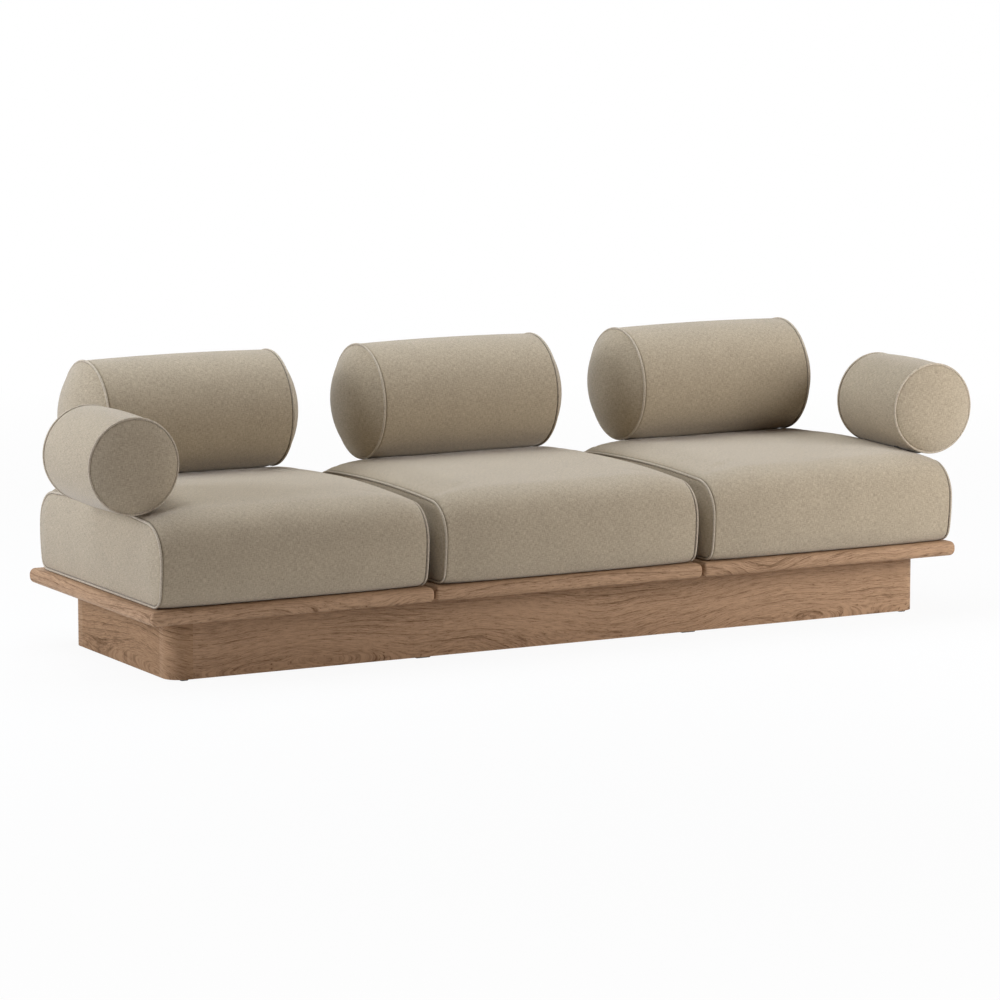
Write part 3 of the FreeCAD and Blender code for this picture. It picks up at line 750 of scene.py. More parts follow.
@dataclass
class Board:
    """An oak platform board: rounded edges and plan corners, and a lipping round its faces."""

    side: Side
    edge_radius: float = 0.016
    corner_radius: float = 0.009
    lipping: float = 0.048
    round_steps: int = 10
    sharp_angle: float = 35.0
    edge_grain: tuple[float, float] = (5.0, -0.03)
    face_grain: tuple[float, float] = (9.0, 0.05)

    def profile(self, thick: float) -> tuple[Array, Array]:
        """Inset and height up one edge: a quarter round, a flat, a quarter round, with the lippings.

        Args:
            thick: the board's thickness.

        Returns:
            Insets and heights from the underside to the top.
        """
        angle = np.linspace(0.0, math.pi / 2, self.round_steps + 1)
        inset = self.edge_radius * (1 - np.sin(angle))
        height = self.edge_radius * (1 - np.cos(angle))
        insets = np.concatenate([[self.lipping], inset, inset[::-1], [self.lipping]])
        heights = np.concatenate([[0.0], height, thick - height[::-1], [thick]])
        return insets, heights

    def build(self) -> None:
        """Builds the edge with its lippings all round, and the two faces between them."""
        low, high = (np.array(c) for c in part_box("platform_" + self.side.value))
        insets, heights = self.profile(high[2] - low[2])
        rise = arc_length(np.stack([insets, heights], axis=1), 0)
        plan = rounded_rings(low, high, insets, self.corner_radius, self.round_steps)
        points = raised(plan, low[2] + heights)
        widest = plan[int(np.argmin(insets))]
        shift = GRAIN_STARTS[self.side]
        run = arc_length(np.concatenate([widest, widest[:1]]), 0) + self.edge_grain[0] * shift
        shell = Shell()
        uv = np.stack(np.meshgrid(run, rise + self.edge_grain[1], indexing="xy"), axis=-1)
        shell.grid(points, uv, closed=True)
        for row in (0, -1):
            face = points[row, ::self.round_steps + 1]
            shell.cap(face, face[:, :2] + np.array(self.face_grain) + np.array([shift, 0.0]))
        piece = shell.build("oak_board_" + self.side.value, self.sharp_angle)
        dress(piece, OAK)
        set_on_body(piece, "base", ["platform_" + self.side.value])


@dataclass
class Glides:
    """Moulded pads below the plinth: those at the ends stop short of the posts' round corners."""

    length: float = 0.040
    trim: float = 0.020
    width: float = 0.016
    edge: float = 0.001
    corner: float = 0.005
    steps: int = 5

    def build(self) -> None:
        """Builds the pads from rounded rings: the tread set in, the full width and the top."""
        low, high = (np.array(c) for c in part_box("plinth_glides"))
        board_low, board_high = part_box("platform_middle")
        inner = (board_high[0] - board_low[0]) / 2
        ends = [(low[0] + self.trim, low[0] + self.length), (high[0] - self.length, high[0] - self.trim)]
        joints = [(side * inner - self.length / 2, side * inner + self.length / 2) for side in (-1, 1)]
        insets = np.array([self.edge, 0.0, 0.0])
        heights = np.array([0.0, self.edge, high[2]])
        shell = Shell()
        for x_low, x_high in ends + joints:
            for y_low, y_high in ((low[1], low[1] + self.width), (high[1] - self.width, high[1])):
                corners = np.array([[x_low, y_low], [x_high, y_high]])
                plan = rounded_rings(*corners, insets, self.corner, self.steps)
                points = raised(plan, heights)
                shell.grid(points, np.concatenate([plan, plan[:, :1]], axis=1), closed=True)
                for row in (0, -1):
                    shell.cap(points[row], plan[row])
        piece = shell.build("glide_pads")
        dress(piece, GLIDE_PLASTIC)
        set_on_body(piece, "base", ["plinth_glides"])


# Soft pieces


@dataclass(frozen=True)
class SeamShape:
    """How cloth rolls in beside a cord of piping.

    Beside the seam the cloth turns in over a shoulder. The rows are the distance from the corner of
    the two panels and the drop below the panel, from the crease outwards: first those of a wrap or
    barrel, then those of a seat's side panel, which turns in more gently, and of a bolster's dome,
    which comes right up to the cord. They meet in the crease.
    """

    distance: tuple[float, ...] = (0.0032, 0.0036, 0.0044, 0.0058, 0.0080)
    drop: tuple[float, ...] = (0.0044, 0.0026, 0.0012, 0.0003, 0.0)
    end_distance: tuple[float, ...] = (0.0040, 0.0045, 0.0054, 0.0068, 0.0088)
    end_drop: tuple[float, ...] = (0.0034, 0.0014, 0.0005, 0.0001, 0.0)
    rim_distance: tuple[float, ...] = (0.0026, 0.0031, 0.0042, 0.0060, 0.0085)
    rim_drop: tuple[float, ...] = (0.0034, 0.0008, 0.0002, 0.0, 0.0)
    cord_radius: float = 0.0029
    cord_inset: float = 0.0004
    # Painted shade in the creases: its share on a seat's side panels, and how wide it falls off from the
    # crease
    end_shade: float = 0.3
    shade_width: float = 0.0018
    hold_from: float = 0.008
    hold_over: float = 0.022

    def painted_crease_shade(self, distance: Array) -> Array:
        """How much painted shade darkens the cloth at a distance from the seam: 1 in the crease, falling off
        outside it.
        """
        return np.exp(-(np.maximum(distance - self.distance[0], 0.0) / self.shade_width) ** 2)

    def hold(self, distance: Array) -> Array:
        """How firmly the cloth is held at a distance: fully beside the seam, not at all further off."""
        share = np.clip((distance - self.hold_from) / self.hold_over, 0.0, 1.0)
        return 1.0 - share * share * (3.0 - 2.0 * share)


SEAM = SeamShape()


@dataclass
class Inflation:
    """A short cloth simulation that lets the padded covers of one kind swell between their seams."""

    pressure: float
    cap: float
    last_frame: int = 20
    # Cloth settings
    quality: int = 6
    mass: float = 0.3
    stretch: float = 40.0
    shear: float = 15.0
    bending: float = 2.0
    # Pins come in levels of this many digits, each with the points this near to it
    level_digits: int = 2
    level_half: float = 0.0051
    least_move: float = 1e-9
    moves: Array | None = None

    def apply(self, piece: Piece) -> None:
        """Moves a cover's points; the first cover of the kind is inflated, the others move as it did.

        Args:
            piece: the closed cover, with its hold mark.
        """
        if self.moves is None:
            self.moves = self.inflate(piece)
        write_points(piece, read_points(piece) + self.moves)

    def inflate(self, piece: Piece) -> Array:
        """Runs the simulation and limits how far each point moves, to cap tanh(move / cap).

        Args:
            piece: the closed cover, which is left as it was.

        Returns:
            The move of each point.
        """
        start = read_points(piece)
        pins = piece.vertex_groups.new(name="seams")
        hold = read_mark(piece, HOLD_MARK)
        for level in np.unique(np.round(hold, self.level_digits)):
            if level > 0:
                chosen = np.flatnonzero(np.abs(hold - level) < self.level_half)
                pins.add(chosen.tolist(), float(level), "REPLACE")
        cloth = piece.modifiers.new("cloth", "CLOTH")
        settings = cloth.settings
        settings.quality = self.quality
        settings.mass = self.mass
        settings.tension_stiffness = self.stretch
        settings.compression_stiffness = self.stretch
        settings.shear_stiffness = self.shear
        settings.bending_stiffness = self.bending
        settings.use_pressure = True
        settings.uniform_pressure_force = self.pressure
        settings.vertex_group_mass = "seams"
        settings.effector_weights.gravity = 0.0
        cloth.collision_settings.use_collision = False
        scene = bpy.context.scene
        cloth.point_cache.frame_end = self.last_frame
        for number in range(1, self.last_frame + 1):
            scene.frame_set(number)
        shown = piece.evaluated_get(bpy.context.evaluated_depsgraph_get())
        flat = np.empty(len(start) * 3, np.float32)
        shown.data.vertices.foreach_get("co", flat)
        move = flat.reshape(-1, 3) - start
        piece.modifiers.remove(cloth)
        piece.vertex_groups.clear()
        scene.frame_set(1)
        size = np.linalg.norm(move, axis=1, keepdims=True)
        log.info("%s swells by up to %.1f mm", piece.name, 1000 * float(size.max()))
        return move * self.cap * np.tanh(size / self.cap) / np.maximum(size, self.least_move)


@dataclass(frozen=True)
class PegSlot:
    """A bound square opening in a cover, at a peg, with a sleeve of lining behind it."""

    half: float = 0.0112
    corner: float = 0.003
    steps: int = 6
    # Binding: width, height, how far past the top it rolls, and its turned-in edge and inner lip
    border: float = 0.006
    proud: float = 0.0010
    rows: int = 9
    roll: float = 1.15
    turn_in: float = 0.0012
    lip: float = 0.012
    sleeve_gap: float = 0.0004
    crease_angle: float = 70.0

    def ring(self, grow: float) -> Array:
        """A rounded square about the origin, grown by an amount, as plan points."""
        angle = np.linspace(0.0, math.pi / 2, self.steps + 1)
        radius = self.corner + grow
        reach = self.half - self.corner
        quarter = np.stack([reach + radius * np.cos(angle), reach + radius * np.sin(angle)], axis=1)
        turns = [quarter]
        for _ in range(3):
            turns.append(np.stack([-turns[-1][:, 1], turns[-1][:, 0]], axis=1))
        return np.concatenate(turns)

    def collar(self, shell: Shell, centre: tuple[float, float], cover: Array, facing: Facing) -> None:
        """Adds the binding: a low rounded rim that follows the cover, from the opening outwards.

        Args:
            shell: where it goes.
            centre: plan place of the peg.
            cover: points of the side of the cover that it lies on.
            facing: which way that side looks.
        """
        share = np.linspace(0.0, 1.0, self.rows)
        rise = self.proud * np.sin(math.pi * np.clip(share * self.roll, 0.0, 1.0))
        rise[-1] -= self.turn_in
        plan = np.stack([self.ring(float(grow)) for grow in share * self.border]) + np.array(centre)
        height = nearest_height(cover, plan[..., 0], plan[..., 1])
        rim = np.concatenate([plan, (height + facing.value * rise[:, None])[..., None]], axis=2)
        inner = rim[:1].copy()
        inner[..., 2] -= facing.value * self.lip
        points = np.concatenate([inner, rim])
        uv = np.concatenate([points[..., :2], points[:, :1, :2]], axis=1)
        shell.grid(points, uv, closed=True)

    def sleeve(self, shell: Shell, centre: tuple[float, float], top: float, bottom: float) -> None:
        """Adds the sleeve down to the socket: the opening's ring carried straight down."""
        ring = self.ring(-self.sleeve_gap) + np.array(centre)
        heights = np.array([top, (top + bottom) / 2, bottom])
        points = raised(np.broadcast_to(ring, (3, *ring.shape)), heights)
        around = arc_length(np.concatenate([ring, ring[:1]]), 0)
        uv = np.stack(np.meshgrid(heights, around, indexing="ij")[::-1], axis=-1)
        shell.grid(points, uv, closed=True)


@dataclass
class SeatForm:
    """The shape all three seats share, about their middle: a crowned wrap between two side panels.

    Front, back and top are bows; roundings tangent to both neighbours join them. The bows swell
    from the side seams to the middle by 1 - (x / seam)^4, the top by the twelfth power.
    """

    seam_half: float = 0.351
    seam_front: float = -0.403
    seam_back: float = 0.314
    seam_top: float = 0.394
    seam_bottom: float = 0.1878
    bottom: float = 0.1843
    front_bow: tuple[float, float] = (0.400, 0.296)
    back_bow: tuple[float, float] = (0.320, 0.282)
    top_bow: float = 4.0
    top_rounding: float = 0.082
    front_foot: float = 0.036
    back_foot: float = 0.030
    crown: float = 0.0225
    swell: float = 0.010
    puff: float = 0.012
    spacing: float = 0.009
    middle_height: float = 0.291
    opening_half: float = 0.0145
    peg_offsets: tuple[float, ...] = (0.150, 0.310)
    # Powers of the swell, and how far from the seam the underside lifts to it
    side_power: int = 4
    top_power: int = 12
    lift_reach: float = 0.03
    # Side panel: way from the seam to the middle line, its rows and how it stands out
    panel_reach: float = 0.103
    panel_rows: tuple[float, ...] = (0.0105, 0.015, 0.021)
    panel_start: float = 0.029
    panel_count: int = 9
    panel_power: float = 2.4
    # Steps of the seven arcs round a section, and of each gap beside them on the underside
    arc_steps: tuple[int, ...] = (6, 13, 15, 58, 15, 11, 6)
    gap_steps: int = 8
    # Even sections end this far from the seam
    seam_gap: float = 0.010
    # Those nearer to an opening's edge than this share of the spacing give way to it
    closest: float = 0.4

    @staticmethod
    def _rounding(bow: Array, top: Array, radius: Array, side: int) -> Array:
        """Centre of a rounding inside a bow and the top, for every section at once."""
        span = np.hypot(top[:, 0] - bow[:, 0], top[:, 1] - bow[:, 1])
        reach_bow = bow[:, 2] - radius
        along = (reach_bow ** 2 - (top[:, 2] - radius) ** 2 + span ** 2) / (2 * span)
        across = np.sqrt(reach_bow ** 2 - along ** 2)
        unit = (top[:, :2] - bow[:, :2]) / span[:, None]
        turned = np.stack([-unit[:, 1], unit[:, 0]], axis=1)
        return bow[:, :2] + along[:, None] * unit + side * across[:, None] * turned

    @staticmethod
    def _touch(bow: Array, centre: Array) -> Array:
        """Where a bow meets a rounding inside it."""
        way = centre - bow[:, :2]
        return bow[:, :2] + way * (bow[:, 2] / np.hypot(way[:, 0], way[:, 1]))[:, None]

    @staticmethod
    def _arc(start: Array, end: Array, centre: Array, count: int) -> Array:
        """Points after the start of an arc up to its end, evenly turned, for every section."""
        radius = np.hypot(*(start - centre).T)
        first = np.arctan2(start[:, 1] - centre[:, 1], start[:, 0] - centre[:, 0])
        turn = np.arctan2(end[:, 1] - centre[:, 1], end[:, 0] - centre[:, 0]) - first
        turn = (turn + math.pi) % (2 * math.pi) - math.pi
        angle = first[:, None] + turn[:, None] * (np.arange(1, count + 1) / count)
        return centre[:, None, :] + radius[:, None, None] * np.stack([np.cos(angle), np.sin(angle)], axis=-1)

    def outlines(self, side_swell: Array, top_swell: Array, bottom: Array) -> Array:
        """Closed outlines (y, z) of many sections, each with the same count of points.

        Args:
            side_swell: swell of the front and back of each section.
            top_swell: swell of the top of each section.
            bottom: underside of each section.

        Returns:
            Sections by points by 2: front foot, front, top, back, then the underside forwards.
        """
        count = len(side_swell)
        ones = np.ones(count)
        front = np.stack([ones * (self.seam_front + self.front_bow[0]), ones * self.front_bow[1],
                          self.front_bow[0] + side_swell], axis=1)
        back = np.stack([ones * (self.seam_back - self.back_bow[0]), ones * self.back_bow[1],
                         self.back_bow[0] + side_swell], axis=1)
        top = np.stack([ones * (self.seam_front + self.seam_back) / 2, ones * (self.seam_top - self.top_bow),
                        self.top_bow + top_swell], axis=1)
        growth = (self.seam_top + top_swell - bottom) / (self.seam_top - self.seam_bottom)
        feet = []
        for bow, radius, side in ((front, self.front_foot, -1), (back, self.back_foot, 1)):
            z = bottom + radius * growth
            y = bow[:, 0] + side * np.sqrt((bow[:, 2] - radius * growth) ** 2 - (z - bow[:, 1]) ** 2)
            feet.append(np.stack([y, z], axis=1))
        front_top = self._rounding(front, top, self.top_rounding * growth, -1)
        back_top = self._rounding(back, top, self.top_rounding * growth, 1)
        start = np.stack([feet[0][:, 0], bottom], axis=1)
        arcs = [(self._touch(front, feet[0]), feet[0]), (self._touch(front, front_top), front[:, :2]),
                (self._touch(top, front_top), front_top), (self._touch(top, back_top), top[:, :2]),
                (self._touch(back, back_top), back_top), (self._touch(back, feet[1]), back[:, :2]),
                (np.stack([feet[1][:, 0], bottom], axis=1), feet[1])]
        chain = [start[:, None, :]]
        for (end, centre), steps in zip(arcs, self.arc_steps):
            chain.append(self._arc(chain[-1][:, -1], end, centre, steps))
        # The underside repeats the places of the top's bow
        ridge = np.concatenate([chain[3][:, -1:], chain[4]], axis=1)
        gap = np.linspace(0.0, 1.0, self.gap_steps + 1)[1:-1]
        heel = chain[-1][:, -1, :1] + (ridge[:, -1, :1] - chain[-1][:, -1, :1]) * gap
        toe = ridge[:, 0, :1] + (start[:, :1] - ridge[:, 0, :1]) * gap
        under = np.concatenate([heel, ridge[:, ::-1, 0], toe], axis=1)
        floor = np.broadcast_to(bottom[:, None], under.shape)
        return np.concatenate(chain + [np.stack([under, floor], axis=-1)], axis=1)

    def wrap_places(self) -> Array:
        """Offsets of the wrap's sections from the middle to a side: even steps, finer at the seam.

        At each peg a section stands at both edges of its opening.
        """
        inner = self.seam_half - self.seam_gap
        places = np.linspace(0.0, inner, round(inner / self.spacing) + 1)
        for peg in self.peg_offsets:
            edges = np.array([peg - self.opening_half, peg + self.opening_half])
            far = np.abs(places[:, None] - edges).min(axis=1) > self.closest * self.spacing
            places = np.sort(np.concatenate([places[far], edges]))
        seam = self.seam_half - np.array(SEAM.distance[::-1])
        return np.concatenate([places, seam])

    def wrap(self, offset: Array) -> tuple[Array, Array]:
        """Sections of the wrap at offsets from the middle.

        Args:
            offset: distances from the middle, at most the seam's.

        Returns:
            Outlines, and the distance of each section from the seam's corner.
        """
        distance = self.seam_half - offset
        drop = np.interp(distance, SEAM.distance, SEAM.drop)
        share = 1.0 - (offset / self.seam_half) ** self.side_power
        fuller = 1.0 - (offset / self.seam_half) ** self.top_power
        lift = np.clip(1.0 - distance / self.lift_reach, 0.0, 1.0) ** 2
        bottom = self.bottom + lift * (self.seam_bottom - self.bottom) + drop
        return self.outlines(self.swell * share - drop, self.crown * fuller - drop, bottom), distance

    def side_panel(self) -> tuple[Array, Array, Array]:
        """One side panel: its seam's outline drawn together towards a line along its middle.

        The panel stands out by puff (1 - (1 - share)^2.4), where share is the way to the middle.

        Returns:
            Outlines from the crease to the middle line, how far each stands out beyond the seam,
            and each one's distance from the seam.
        """
        inner = np.linspace(self.panel_start, self.panel_reach, self.panel_count)
        distance = np.concatenate([SEAM.end_distance, self.panel_rows, inner])
        seam, _ = self.wrap(np.array([self.seam_half - SEAM.distance[0]]))
        corner = self.outlines(np.zeros(1), np.zeros(1), np.array([self.seam_bottom]))[0]
        # The middle line is as long as the top's bow, which is the fourth arc
        low, high = (corner[sum(self.arc_steps[:count]), 0] for count in (3, 4))
        line = np.stack([np.clip(corner[:, 0], low, high), np.full(len(corner), self.middle_height)], axis=1)
        share = distance / self.panel_reach
        rings = corner + share[:, None, None] * (line - corner)
        rings[0] = seam[0]
        drop = np.interp(distance, SEAM.end_distance, SEAM.end_drop)
        out = self.puff * (1.0 - (1.0 - share) ** self.panel_power) - drop
        out[0] = -SEAM.distance[0]
        return rings, out, distance


@dataclass
class Seat:
    """One lift-off seat: its inflated cover, its piping and the bound openings for the pegs."""

    side: Side
    form: SeatForm
    seed: int
    # Heights over the underside up to which the wrap and the side panels are held
    foot_hold: float = 0.012
    panel_hold: float = 0.004
    # Depths below the seam down to which points belong to the top, for openings and for pressing
    top_depth: float = 0.06
    press_depth: float = 0.05
    press_gap: float = 0.001
    sleeve_drop: float = 0.004
    # Broad waves of the cloth
    wave_count: int = 7
    wave_rates: tuple[float, float, float] = (9.0, 9.0, 14.0)
    wave_height: float = 0.00045
    # Where the weave starts, so that no two panels or seats look alike
    wrap_shift: float = 0.7
    panel_shift: tuple[float, float] = (3.0, 0.4)

    @property
    def body(self) -> str:
        """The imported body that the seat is."""
        return "seat_" + self.side.value

    def middle(self) -> float:
        """X of the seat's middle."""
        low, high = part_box(self.body + "_cover")
        return (low[0] + high[0]) / 2

    def cover(self, pegs: Sequence[tuple[float, float]]) -> Piece:
        """Builds the closed cover about the seat's own middle, before it is inflated.

        Args:
            pegs: plan places of the openings, about the seat's middle.

        Returns:
            The cover, in its own place.
        """
        form = self.form
        half = form.wrap_places()
        offset = np.concatenate([-half[:0:-1], half])
        outlines, distance = form.wrap(np.abs(offset))
        points = spread(outlines, self.middle() + offset)
        around = arc_length(np.concatenate([outlines[len(offset) // 2], outlines[len(offset) // 2, :1]]), 0)
        uv = np.stack(np.meshgrid(offset + self.wrap_shift * self.seed, around, indexing="ij"), axis=-1)
        opened = np.zeros((len(offset) - 1, outlines.shape[1]), bool)
        cell_x = (offset[:-1] + offset[1:]) / 2
        cell_y = (outlines[:, :, 0] + np.roll(outlines[:, :, 0], -1, axis=1))[:-1] / 2
        for peg_x, peg_y in pegs:
            on_top = np.abs(cell_y - peg_y) < form.opening_half
            # Nothing is cut below the sixth arc, which is the back
            on_top[:, sum(form.arc_steps[:6]):] = False
            opened |= (np.abs(cell_x - peg_x) < form.opening_half)[:, None] & on_top
        hold = np.maximum(SEAM.hold(distance)[:, None], outlines[..., 1] < form.bottom + self.foot_hold)
        shell = Shell()
        # The wrap's seam mark: painted shade in the creases beside the side seams
        shell.grid(points, uv, closed=True, seam=SEAM.painted_crease_shade(distance)[:, None], hold=hold,
                   opened=opened)
        rings, out, reach = form.side_panel()
        for way in (-1, 1):
            panel = spread(rings, self.middle() + way * (form.seam_half + out))
            shift = np.array([self.panel_shift[0] + way, self.panel_shift[1] * self.seed])
            laid = np.concatenate([rings, rings[:, :1]], axis=1) + shift
            firm = np.maximum(SEAM.hold(reach)[:, None], rings[..., 1] < form.seam_bottom + self.panel_hold)
            # Painted shade on the side panel's edge, beside the seam's crease
            shade = SEAM.end_shade * SEAM.painted_crease_shade(reach)
            shell.grid(panel, laid, closed=True, seam=shade[:, None], hold=firm)
        return shell.build("seat_cover_" + self.side.value)

    def piping(self) -> Piece:
        """Builds the two cords, each along the corner of the wrap and a side panel."""
        form = self.form
        inset = SEAM.cord_inset
        path, = form.outlines(np.array([-inset]), np.array([-inset]), np.array([form.seam_bottom + inset]))
        ahead = np.roll(path, -1, axis=0) - np.roll(path, 1, axis=0)
        ahead /= np.linalg.norm(ahead, axis=1, keepdims=True)
        shell = Shell()
        for way in (-1, 1):
            x = np.full((len(path), 1), self.middle() + way * (form.seam_half - inset))
            line = np.concatenate([x, path], axis=1)
            outward = np.stack([np.zeros(len(path)), -ahead[:, 1], ahead[:, 0]], axis=1)
            points, uv = tube(line, outward, SEAM.cord_radius)
            shell.grid(points, uv, closed=True)
        return shell.build("seat_piping_" + self.side.value)

    def openings(self, pegs: Sequence[tuple[float, float]], cover: Array) -> list[Piece]:
        """Builds the bindings and the sleeves of the openings for the pegs."""
        bindings, sleeves = Shell(), Shell()
        slot = PegSlot()
        socket_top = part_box(self.body + "_sockets")[1][2]
        top_side = cover[cover[:, 2] > self.form.seam_top - self.top_depth]
        for x, y in pegs:
            centre = (self.middle() + x, y)
            slot.collar(bindings, centre, top_side, Facing.UP)
            height = float(nearest_height(top_side, np.array(centre[0]), np.array(centre[1])))
            slot.sleeve(sleeves, centre, height - self.sleeve_drop, socket_top)
        return [shell.build(f"seat_{name}_{self.side.value}", slot.crease_angle)
                for name, shell in (("bindings", bindings), ("sleeves", sleeves))]

    def press(self, piece: Piece, bolsters: Sequence["Bolster"]) -> None:
        """Presses the top down where a bolster rests: no point stays above the bolster's underside.

        Args:
            piece: the cover.
            bolsters: those that rest on the seat.
        """
        points = read_points(piece)
        for bolster in bolsters:
            across, along = (0, 1) if bolster.along_y else (1, 0)
            middle = bolster.middle()
            off = np.abs(points[:, across] - middle[across])
            radius = bolster.form.radius_at(np.abs(points[:, along] - middle[along]))
            below = (off < radius) & (points[:, 2] > self.form.seam_top - self.press_depth)
            under = middle[2] - np.sqrt(np.maximum(radius ** 2 - off ** 2, 0.0)) - self.press_gap
            points[:, 2] = np.where(below, np.minimum(points[:, 2], under), points[:, 2])
        write_points(piece, points)

    def ripple(self, piece: Piece) -> None:
        """Gives this seat's cloth its own slight unevenness: a few broad waves along the normals."""
        chance = np.random.default_rng(self.seed)
        points = read_points(piece)
        normals = np.empty(len(points) * 3, np.float32)
        piece.data.vertex_normals.foreach_get("vector", normals)
        waves = chance.normal(0.0, 1.0, (self.wave_count, 3)) * np.array(self.wave_rates)
        phase = chance.uniform(0.0, 2 * math.pi, self.wave_count)
        height = np.sin(points @ waves.T + phase).sum(axis=1) * self.wave_height
        free = (1.0 - read_mark(piece, HOLD_MARK))[:, None]
        write_points(piece, points + height[:, None] * free * normals.reshape(-1, 3))

    def build(self, pegs: Sequence[tuple[float, float]], swelling: Inflation,
              bolsters: Sequence["Bolster"]) -> Array:
        """Builds, inflates and dresses the seat.

        Args:
            pegs: plan places of the openings, about the seat's middle.
            swelling: how the cover is inflated.
            bolsters: those that rest on the seat.

        Returns:
            The finished cover's points.
        """
        cover = self.cover(pegs)
        swelling.apply(cover)
        self.ripple(cover)
        self.press(cover, bolsters)
        cut_openings(cover)
        dress(cover, CLOTH)
        set_on_body(cover, self.body, [self.body + "_cover", self.body + "_foam_core"])
        piping = self.piping()
        dress(piping, PIPING_CLOTH_PAINTED_HIGHLIGHT)
        set_on_body(piping, self.body, [self.body + "_piping"])
        shape = read_points(cover)
        for piece, material in zip(self.openings(pegs, shape), (CLOTH, LINING)):
            dress(piece, material)
            set_on_body(piece, self.body)
        return shape


@dataclass
class BolsterForm:
    """A round bolster about X: a barrel with a parabolic crown between two domes.

    The barrel's radius is rim + crown (1 - (x / half)^2). A dome stands out beyond the rim by
    dome (1 - (radius / rim)^fullness): the fuller, the flatter in the middle and rounder at the rim.
    """

    length: float
    rim_radius: float
    crown: float
    dome: float
    fullness: float
    # Mesh: spacing of the rows, the first one from the rim, and points that measure the dome
    spacing: float = 0.0088
    first_row: float = 0.011
    curve_points: int = 400

    def profile(self) -> tuple[list[Array], Array]:
        """Half of the profile that is turned about the axis, as dome and barrel.

        Near the rim both roll in to the crease below the cord.

        Returns:
            Place and radius along the dome from its tip to the crease, then along the barrel from
            the crease to the middle, with the distances from the rim; and the cord's centre.
        """
        half = self.length / 2
        level = np.linspace(1.0, 0.0, self.curve_points)
        curve = np.stack([self.dome * (1.0 - level ** self.fullness), self.rim_radius * level], axis=1)
        inwards = arc_length(curve, 0)
        drop, near = np.array(SEAM.drop), np.array(SEAM.distance)
        rim_drop, rim_near = np.array(SEAM.rim_drop), np.array(SEAM.rim_distance)
        arc = float(inwards[-1])
        reach = np.concatenate([rim_near, np.linspace(self.first_row, arc, round(arc / self.spacing))])
        share = np.interp(reach, inwards, level)
        rim_slope = self.dome * self.fullness / self.rim_radius
        slope = rim_slope * share ** (self.fullness - 1.0)
        sink = np.interp(reach, rim_near, rim_drop) / np.hypot(1.0, slope)
        dome = np.stack([half + self.dome * (1.0 - share ** self.fullness) - sink,
                         np.maximum(self.rim_radius * share - sink * slope, 0.0), reach], axis=1)
        run = np.concatenate([near, np.linspace(self.first_row, half, round(half / self.spacing))])
        place = half - run
        radius = self.rim_radius + self.crown * (1.0 - (place / half) ** 2) - np.interp(run, near, drop)
        barrel = np.stack([place, radius, run], axis=1)
        crease = (dome[0, :2] + barrel[0, :2]) / 2
        dome[0, :2] = crease
        barrel[0, :2] = crease
        lean = math.atan2(1.0, rim_slope) / 2
        inward = np.array([-math.sin(lean), -math.cos(lean)])
        cord = np.array([half, self.rim_radius]) + SEAM.cord_inset * math.sqrt(2.0) * inward
        return [dome, barrel], cord

    def radius_at(self, place: Array) -> Array:
        """Radius of the plain barrel or dome at distances from the middle, 0 beyond its ends."""
        half = self.length / 2
        barrel = self.rim_radius + self.crown * (1.0 - (place / half) ** 2)
        dome = self.rim_radius * np.clip(1.0 - (place - half) / self.dome, 0.0, 1.0) ** (1.0 / self.fullness)
        return np.where(place < half, barrel, dome)

    def turned(self, profile: Array, turn: Array) -> Array:
        """A profile of place and radius turned about the axis."""
        x = np.broadcast_to(profile[:, 0, None], (len(profile), len(turn)))
        return np.stack([x, profile[:, 1, None] * np.cos(turn), profile[:, 1, None] * np.sin(turn)], axis=-1)


